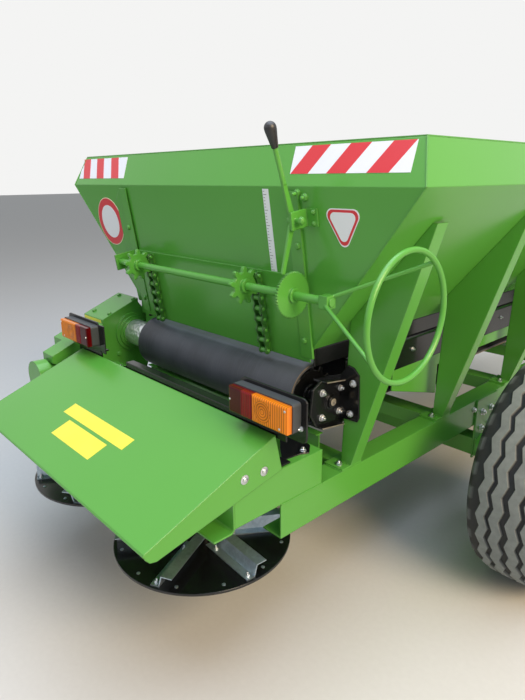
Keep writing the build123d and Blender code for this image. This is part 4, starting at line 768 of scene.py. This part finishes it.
FOOT_PLATE = (
    # out from the machine's middle, ahead of the crease
    (0.504, -0.069), (0.568, -0.122), (0.577, -0.053), (0.591, -0.026), (0.558, 0.014),
    (0.488, 0.034), (0.452, -0.018),
)
FOOT_PLATE_Z, FOOT_SHEET = 0.6965, 0.004
LAMP_BOLTS = (
    # out from the machine's middle, ahead of the crease, height, the way it faces, across the flats, stud
    (0.569, -0.031, FOOT_PLATE_Z + FOOT_SHEET, (0, 0, 1), M10, 0.014),
    (0.700, LAMP_BACK, 0.868, (0, -1, 0), M8, 0.012),
)
LAMP_STRIP = (-0.448, -0.404, 0.832, 0.950)  # across from and to, height from and to
feet, foot_bolts = bmesh.new(), bmesh.new()
for side in (-1, 1):
    slab(feet, [at(side * x, y, FOOT_PLATE_Z) for x, y in FOOT_PLATE], (0, 0, FOOT_SHEET))
    for x, y, z, way, across, stud in LAMP_BOLTS:
        hex_bolt(foot_bolts, at(side * x, y, z), way, across, stud)
slab(feet, patch(lambda x, z: at(x, LAMP_BACK, z), *LAMP_STRIP), (0, FOOT_SHEET, 0))
fit("lamp_bolts", foot_bolts, zinc_plate)
fit("lamp_feet", feet, black_enamel)

# Gate and its guides
# A sheet that slides up the rear wall in folded guides, with a length of roller chain welded on as a rack.
# All of it was sprayed together, so the chain is green too. A black sheet on the bar between its links is
# painted shadow, and the link plates take a darker copy of the enamel as painted shade.
coat(green_enamel, "gate_plate", "gate_guides", "lift_bearings")

# The links' side plates take a darker, rougher copy of the green enamel: painted shade on their sides
shaded_green_enamel = gloss_enamel("painted_shade_green_enamel_on_links", "#23501f", "#3b7a2d", 0.35)
RACK_X, RACK_FIRST, RACK_PITCH, RACK_ROLLERS = (-0.352, 0.298), -0.5477, 0.0381, 8
PITCH_LINE, GATE_FACE, BAR_THICKNESS, SHADOW = 0.0244, 0.0054, 0.007, 0.0003
ROLLER_R, PIN_R, LINK_END_R, LINK_WAIST = 0.0100, 0.0062, 0.0135, 0.0078
INNER_HALF, LINK_THICKNESS, LINK_GAP, PIN_END, PIN_PROUD = 0.0125, 0.0038, 0.0002, 0.0012, 0.002
BAR_HALF, BAR_OVER = INNER_HALF - 0.002, 0.008
GUIDE_FACE = 0.0088
GUIDE_BOLTS = ((0.490, -0.172), (0.479, -0.480))  # out from the machine's middle, above the crease


def link_outline():
    """A waisted link: heights along the chain from its middle and how far out its edge is there."""
    points = []
    for k in range(9):
        a = pi * k / 8 * 0.62
        points.append((RACK_PITCH / 2 + LINK_END_R * cos(a), LINK_END_R * sin(a)))
    points.append((0.0, LINK_WAIST))
    right = points + [(-v, w) for v, w in reversed(points[:-1])]
    return right + [(v, -w) for v, w in reversed(right[1:-1])]


racks = bmesh.new()
reach = INNER_HALF + 2 * LINK_THICKNESS + PIN_PROUD
pin = [(PIN_R * 0.8, -reach), (PIN_R, PIN_END - reach), (PIN_R, reach - PIN_END), (PIN_R * 0.8, reach)]
roller = [(ROLLER_R, 0.0005 - INNER_HALF), (ROLLER_R, INNER_HALF - 0.0005)]
for x in RACK_X:
    last = RACK_FIRST + RACK_PITCH * (RACK_ROLLERS - 1)
    ends = (x - BAR_HALF, x + BAR_HALF, RACK_FIRST - BAR_OVER, last + BAR_OVER)
    bar = patch(lambda u, v: on_rear_wall(u, v, GATE_FACE), *ends)
    slab(racks, bar, wall_out * BAR_THICKNESS)
    # A thin black sheet on top of the bar, between the rollers and the links, is painted shadow
    sheet(racks, [p + wall_out * BAR_THICKNESS for p in bar], SHADOW, wall_out, 1)
    for k in range(RACK_ROLLERS):
        v = RACK_FIRST + RACK_PITCH * k
        centre = facing(on_rear_wall(x, v, PITCH_LINE), (1, 0, 0))
        turned(racks, roller, centre, 20)
        turned(racks, pin, centre, 14)
        if k:
            layer = INNER_HALF if k % 2 else INNER_HALF + LINK_THICKNESS
            middle = v - RACK_PITCH / 2
            for start in (x + layer, x - layer - LINK_THICKNESS):
                link = [on_rear_wall(start, middle + dv, PITCH_LINE + dw) for dv, dw in link_outline()]
                # The link plates get the darker copy of the enamel, painted shade
                slab(racks, link, (LINK_THICKNESS - LINK_GAP, 0, 0), index=2)
guide_bolts = bmesh.new()
for side in (-1, 1):
    for u, v in GUIDE_BOLTS:
        hex_bolt(guide_bolts, on_rear_wall(side * u, v, GUIDE_FACE), wall_out, M10)
fit("guide_bolts", guide_bolts, green_enamel)
chain_racks = fit("roller_chain_racks", racks, (green_enamel, black_enamel, shaded_green_enamel), "gate")
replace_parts(chain_racks, "gate_racks")

# Lift shaft and handwheel
# Two nine-tooth sprockets and a ratchet disc on a through shaft, turned by a wheel bent from tube.
# The wheel's two spokes are welded to a square block that is pinned to the shaft's end.
coat(green_enamel, "lift_shaft", "lift_sprockets", "ratchet_disc")
SHAFT_Y, SHAFT_Z, HUB_X, WHEEL_X, WHEEL_R = -0.0322, 1.1914, 0.652, 0.915, 0.166
SPOKES, SPOKE_START, SPOKE_R, WHEEL_TUBE_R, WHEEL_SIDES = (50, 215), 0.016, 0.0058, 0.008, 120
BLOCK = ((0.0262, 0), (0.0268, 0.001), (0.0268, 0.031), (0.0255, 0.032))  # half diagonal, length


def round_shaft(x, radius, a):
    """A point at this distance and angle from the lift shaft's axis."""
    return at(x, SHAFT_Y + radius * cos(a), SHAFT_Z + radius * sin(a))


wheel = bmesh.new()
tube(wheel, [round_shaft(WHEEL_X, WHEEL_R, a) for a in circle(WHEEL_SIDES)], WHEEL_TUBE_R, 14, closed=True)
for degrees in SPOKES:
    start = round_shaft(HUB_X + 0.006, SPOKE_START, radians(degrees))
    end = round_shaft(WHEEL_X, WHEEL_R, radians(degrees))
    tube(wheel, [start.lerp(end, k / 8) for k in range(9)], SPOKE_R, 10)
hub = Matrix.Translation(at(HUB_X - 0.016, SHAFT_Y, SHAFT_Z)) @ Matrix.Rotation(pi / 2, 4, "Y")
turned(wheel, BLOCK, hub, 4, pi / 4)
handwheel = fit("handwheel_tube", wheel, green_enamel, "lift_shaft")
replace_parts(handwheel, "handwheel")

# Holding pawl
# A flat lever whose nose drops into the ratchet disc, on a pin through a welded stand.
# Its knob is black phenolic, moulded smooth and rubbed to a soft shine by the hand in 20 mm patches.
coat(green_enamel, "pawl_lever", "lever_bracket")
black_phenolic, tree, shader, place = start_material("moulded_black_phenolic")
rub, colour = mottle(tree, place, 0.02, 4, "#0e1014", "#191c21")
shine = add_node(tree, "ShaderNodeMapRange", links={"Value": rub, "To Min": 0.28, "To Max": 0.5})
finish(tree, shader, {"Base Color": colour, "Roughness": shine.outputs["Result"], "IOR": 1.6})
PIVOT_X, PIVOT_V, PIVOT_W, KNOB_LENGTH, KNOB_R, KNOB_OVER = 0.518, -0.086, 0.049, 0.070, 0.017, 0.011
pivot, lever_top = on_rear_wall(PIVOT_X, PIVOT_V, PIVOT_W), at(PIVOT_X, -0.124, 1.655)
up_lever = (lever_top - pivot).normalized()
knob_profile = [(0.0085, 0), (0.0095, 0.0015), (KNOB_R - 0.0004, 0.046)]
for k in range(10):
    a = radians(9.5 * k)
    knob_profile.append((KNOB_R * cos(a), KNOB_LENGTH - KNOB_R + KNOB_R * sin(a)))
knob = bmesh.new()
turned(knob, knob_profile, facing(lever_top - up_lever * (KNOB_LENGTH - KNOB_OVER), up_lever), 40)
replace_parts(fit("phenolic_knob", knob, black_phenolic, "pawl_lever"), "lever_knob")

PAWL_BOLTS = (
    # across, above the crease, out of the wall, the way it faces, across the flats, stud
    (0.552, PIVOT_V, PIVOT_W, (1, 0, 0), M12, 0.010),
    (0.512, PIVOT_V, PIVOT_W, (-1, 0, 0), M12, 0),
    (0.560, PIVOT_V - 0.016, 0.005, wall_out, M8, 0.009),
    (0.560, PIVOT_V + 0.016, 0.005, wall_out, M8, 0.009),
    (0.500, -0.019, 0, wall_out, M12, 0.024),
    (0.528, -0.030, 0, wall_out, M12, 0.018),
)
pins = bmesh.new()
for u, v, w, way, across, stud in PAWL_BOLTS:
    hex_bolt(pins, on_rear_wall(u, v, w), way, across, stud)
fit("pawl_bolts", pins, green_enamel)

# Belt drive
# A welded case round the reduction gears with a bolted lid, enamelled green, with the motor at its rear.
# Its bolts were sprayed with it.
coat(green_enamel, "belt_drive_case", "belt_drive_gear")
LID_EDGE_Y, LID_EDGE_Z, LID_SLOPE, LID_OUT = 0.157, 0.977, 0.4, (0, -0.3714, 0.9285)
LID_BOLTS = ((-0.846, 0.001), (-0.716, 0.011), (-0.848, 0.141), (-0.714, 0.140))  # across, ahead
CASE_X, CASE_BOLTS = -0.700, ((0.036, 0.723), (0.080, 0.663), (0.190, 0.690))  # ahead, height
MOTOR_BOLTS_X, MOTOR_BOLT_Y, MOTOR_BOLT_Z = (-0.778, -0.738), -0.262, 0.738
drive_bolts = bmesh.new()
for x, y in LID_BOLTS:
    hex_bolt(drive_bolts, at(x, y, LID_EDGE_Z + LID_SLOPE * (y - LID_EDGE_Y)), LID_OUT, M10)
for y, z in CASE_BOLTS:
    hex_bolt(drive_bolts, at(CASE_X, y, z), (1, 0, 0), M12)
for x in MOTOR_BOLTS_X:
    hex_bolt(drive_bolts, at(x, MOTOR_BOLT_Y, MOTOR_BOLT_Z), (0, 0, 1), M14, 0.016)
fit("belt_drive_bolts", drive_bolts, green_enamel)

# Drawbar and jack
# Box tubes welded to a head with a forged towing eye; a screw jack holds it up when parked.
# Forge scale breaks up in patches of about 6 mm
coat(green_enamel, "drawbar_arms", "drawbar_head")
coat(black_enamel, "jack")
forged_steel, tree, shader, place = start_material("forged_black_steel")
scale, colour = mottle(tree, place, 0.006, 4, "#26282b", "#4b4e52")
finish(tree, shader, {"Base Color": colour, "Metallic": 0.7, "Roughness": 0.5}, (scale, 0.0006, 0.5))
coat(forged_steel, "drawbar_eye")
EYE_BOLT_X, EYE_BOLT_RISE, EYE_PLATE_Y, EYE_Z = 0.036, 0.022, 4.052, 0.416
JACK_TOP, CRANK_R = at(0.262, 3.730, 0.638), 0.007
CRANK_BENDS = (
    # across and up from the jack's top
    (0, 0), (0, 0.035), (0, 0.045), (0.01, 0.055), (0.13, 0.055), (0.14, 0.065), (0.14, 0.075), (0.14, 0.17),
)
eye_bolts, crank = bmesh.new(), bmesh.new()
for x in (-EYE_BOLT_X, EYE_BOLT_X):
    for z in (-EYE_BOLT_RISE, EYE_BOLT_RISE):
        hex_bolt(eye_bolts, at(x, EYE_PLATE_Y, EYE_Z + z), (0, 1, 0), M8, 0.012)
fit("eye_bolts", eye_bolts, zinc_plate)
tube(crank, [JACK_TOP + Vector((x, 0, z)) for x, z in CRANK_BENDS], CRANK_R, 12)
fit("jack_crank", crank, zinc_plate)

# Marker stripes and signs
# Retroreflective film on thin sheet: white and red, blank, stuck on the rim band and the rear wall.
# Its glass beads give a dull, even white that stays pale in the shade.


def reflective_film(name, cell, seam):
    """Bead film: flat colour with a fine honeycomb of 3 mm cells under a soft gloss."""
    material, tree, shader, place = start_material(name)
    cells = add_node(tree, "ShaderNodeTexVoronoi", {"feature": "DISTANCE_TO_EDGE"}, {
        "Vector": place, "Scale": 1 / 0.003})
    inside = add_node(tree, "ShaderNodeMapRange", links={
        "Value": cells.outputs["Distance"], "From Max": 0.12, "To Min": 0.5})
    colour = add_node(tree, "ShaderNodeMix", {"data_type": "RGBA"}, {
        "Factor": inside.outputs["Result"], "A": linear(seam), "B": linear(cell)})
    finish(tree, shader, {"Base Color": colour.outputs["Result"], "Roughness": 0.35, "IOR": 1.5})
    return material


white_film = reflective_film("white_reflective_film", "#e8ebf0", "#dfe2ea")
red_film = reflective_film("red_reflective_film", "#d3313a", "#c92c36")
pale_edge = reflective_film("cream_sheet_edge", "#efe6c6", "#e6dcb8")

band_tilt = atan2(RIM_RUN, RIM_Z - CREASE_Z)
band_out = Vector((0, -cos(band_tilt), sin(band_tilt)))


def slanted(low, high, z0, z1, w=0.0):
    """A parallelogram on the leaning band above the crease, from the ends of its lower and upper edge."""
    corners = ((low[0], z0), (low[1], z0), (high[1], z1), (high[0], z1))
    return [at(u, (z - CREASE_Z) * tan(band_tilt), z) + band_out * w for u, z in corners]


FIELD_THICKNESS, BAR_FILM = 0.0006, 0.0004
STRIPES = (
    # white field's top and bottom ends, its heights, the red bars' top and bottom starts, bar width
    ((0.447, 0.858), (0.457, 0.864), 1.611, 1.534,
     ((0.513, 0.459), (0.652, 0.596), (0.788, 0.732)), 0.068),
    ((-0.903, -0.512), (-0.892, -0.493), 1.609, 1.526,
     ((-0.897, -0.850), (-0.775, -0.725), (-0.648, -0.597)), 0.062),
)
stripes = bmesh.new()
for top, bottom, z1, z0, bars, width in STRIPES:
    sheet(stripes, slanted(bottom, top, z0, z1), FIELD_THICKNESS, band_out, 0)
    for t, b in bars:
        bar = slanted((b, b + width), (t, t + width), z0, z1, FIELD_THICKNESS)
        sheet(stripes, bar, BAR_FILM, band_out, 1)
fit("marker_stripes", stripes, (white_film, red_film), normals=False)


def rounded_outline(corners, radius, steps=6):
    """A flat outline with each corner rounded by an arc."""
    points = []
    count = len(corners)
    for k in range(count):
        a, b, c = (Vector(corners[(k + d) % count]) for d in (-1, 0, 1))
        first, last = (a - b).normalized(), (c - b).normalized()
        half = first.angle(last) / 2
        centre = b + (first + last).normalized() * (radius / sin(half))
        start = (b + first * (radius / tan(half)) - centre).normalized()
        end = (b + last * (radius / tan(half)) - centre).normalized()
        for j in range(steps + 1):
            points.append(centre + start.slerp(end, j / steps).normalized() * radius)
    return points


def up_wall(z):
    """How far up the rear wall from the crease this height is."""
    return (z - CREASE_Z) / cos(wall_tilt)


SIGN_U, SIGN_V, SIGN_SIDES = -0.652, up_wall(1.345), 72
ROUND_SIGN = ((0.103, 0.001, 2), (0.100, 0.0014, 1), (0.071, 0.0018, 0))  # radius, thickness, film
TRIANGLE, TRIANGLE_CORNER_R = ((0.590, -0.058), (0.733, -0.058), (0.663, -0.183)), 0.019
TRIANGLE_MIDDLE = Vector((0.662, -0.100))
TRIANGLE_SIGN = ((1.0, 0.0008, 0), (0.93, 0.0012, 1), (0.76, 0.0016, 0))  # share, thickness, film
signs = bmesh.new()
for r, thickness, film in ROUND_SIGN:
    ring = [on_rear_wall(SIGN_U + r * cos(a), SIGN_V + r * sin(a)) for a in circle(SIGN_SIDES)]
    sheet(signs, ring, thickness, wall_out, film)
for share, thickness, film in TRIANGLE_SIGN:
    corners = [TRIANGLE_MIDDLE + (Vector(p) - TRIANGLE_MIDDLE) * share for p in TRIANGLE]
    outline = rounded_outline(corners, TRIANGLE_CORNER_R * share)
    sheet(signs, [on_rear_wall(p.x, p.y) for p in outline], thickness, wall_out, film)
fit("blank_signs", signs, (white_film, red_film, pale_edge), normals=False)

# The gate's scale: a white strip with plain division marks and no figures, in the 0.4 mm behind the gate
SCALE_ENDS, SCALE_LOW, SCALE_TOP, SCALE_FILM = (0.352, 0.379), up_wall(1.234), up_wall(1.492), 0.0002
MARKS, MARK_U, MARK_FIRST, MARK_STEP = 27, 0.354, 0.006, 0.0095
MARK_WIDTH, LONG_MARK, SHORT_MARK, MARK_FILM = 0.0014, 0.014, 0.007, 0.0001
marks = bmesh.new()
sheet(marks, patch(on_rear_wall, *SCALE_ENDS, SCALE_LOW, SCALE_TOP), SCALE_FILM, wall_out, 0)
for k in range(MARKS):
    v = SCALE_LOW + MARK_FIRST + k * MARK_STEP
    end = MARK_U + (SHORT_MARK if k % 5 else LONG_MARK)
    mark = patch(lambda u, v: on_rear_wall(u, v, SCALE_FILM), MARK_U, end, v, v + MARK_WIDTH)
    sheet(marks, mark, MARK_FILM, wall_out, 1)
fit("gate_scale", marks, (white_film, grey_abs), normals=False)

# Studio
# A pale floor, an even sky and three soft lamps; the camera stands where the photograph was taken.
pale_floor = two_tone("pale_floor", "#c9c9c6", "#cfcfcc", 0.02, 2, {"Roughness": 0.9})
floor = add_object("floor", bpy.data.meshes.new("floor"))
ground = bmesh.new()
bmesh.ops.create_grid(ground, x_segments=1, y_segments=1, size=60)
ground.to_mesh(floor.data)
ground.free()
floor.data.materials.append(pale_floor)

world = bpy.data.worlds.new("even_sky")
world.use_nodes = True
sky = world.node_tree
sky.nodes.clear()
path = add_node(sky, "ShaderNodeLightPath")
through = add_node(sky, "ShaderNodeMath", {"operation": "MAXIMUM"}, {
    0: path.outputs["Is Glossy Ray"], 1: path.outputs["Is Transmission Ray"]})
seen = add_node(sky, "ShaderNodeMath", {"operation": "MAXIMUM"}, {
    0: path.outputs["Is Camera Ray"], 1: through.outputs[0]})
light = add_node(sky, "ShaderNodeBackground", links={"Color": linear("#eef3fb"), "Strength": 0.42})
white = add_node(sky, "ShaderNodeBackground", links={"Color": linear("#f4f4f3"), "Strength": 1.0})
mixed = add_node(sky, "ShaderNodeMixShader", links={
    0: seen.outputs[0], 1: light.outputs[0], 2: white.outputs[0]})
add_node(sky, "ShaderNodeOutputWorld", links={"Surface": mixed.outputs[0]})
bpy.context.scene.world = world

LAMPS = (
    # name, place, aimed at, size, power, colour
    ("sky_panel", (0.5, -1.5, 6.0), (0, 0, 0.8), 6.0, 400, "#e2edff"),
    ("right_panel", (7.0, -2.0, 4.6), (0, -0.5, 0.9), 4.0, 640, "#ffe0b4"),
    ("rear_panel", (-1.5, -6.5, 3.2), (0, -1.5, 0.8), 3.0, 12, "#ffffff"),
)
for name, spot, target, size, power, hue in LAMPS:
    panel = bpy.data.lights.new(name, "AREA")
    panel.color = linear(hue)[:3]
    panel.size = size
    panel.energy = power
    lamp = add_object(name, panel)
    lamp.location = spot
    lamp.rotation_mode = "QUATERNION"
    lamp.rotation_quaternion = (Vector(target) - Vector(spot)).to_track_quat("-Z", "Y")

CAMERA_PLACE, FOCAL_PIXELS, FRAME_PIXELS, SENSOR = (1.666, -2.9935, 1.524), 564.785, 700, 36
yaw, pitch, roll = radians(47.252), radians(16.956), radians(-0.4)
ahead = Vector((-sin(yaw) * cos(pitch), cos(yaw) * cos(pitch), -sin(pitch)))
level = Vector((cos(yaw), sin(yaw), 0))
raised = level.cross(ahead)
across = level * cos(roll) + raised * sin(roll)
upward = raised * cos(roll) - level * sin(roll)
optics = bpy.data.cameras.new("camera")
optics.sensor_width = SENSOR
optics.lens = SENSOR * FOCAL_PIXELS / FRAME_PIXELS
optics.clip_end = 200
camera = add_object("camera", optics)
stance = Matrix((across, upward, -ahead)).transposed().to_4x4()
camera.matrix_world = Matrix.Translation(CAMERA_PLACE) @ stance
bpy.context.scene.camera = camera
bpy.context.scene.view_settings.view_transform = "Standard"
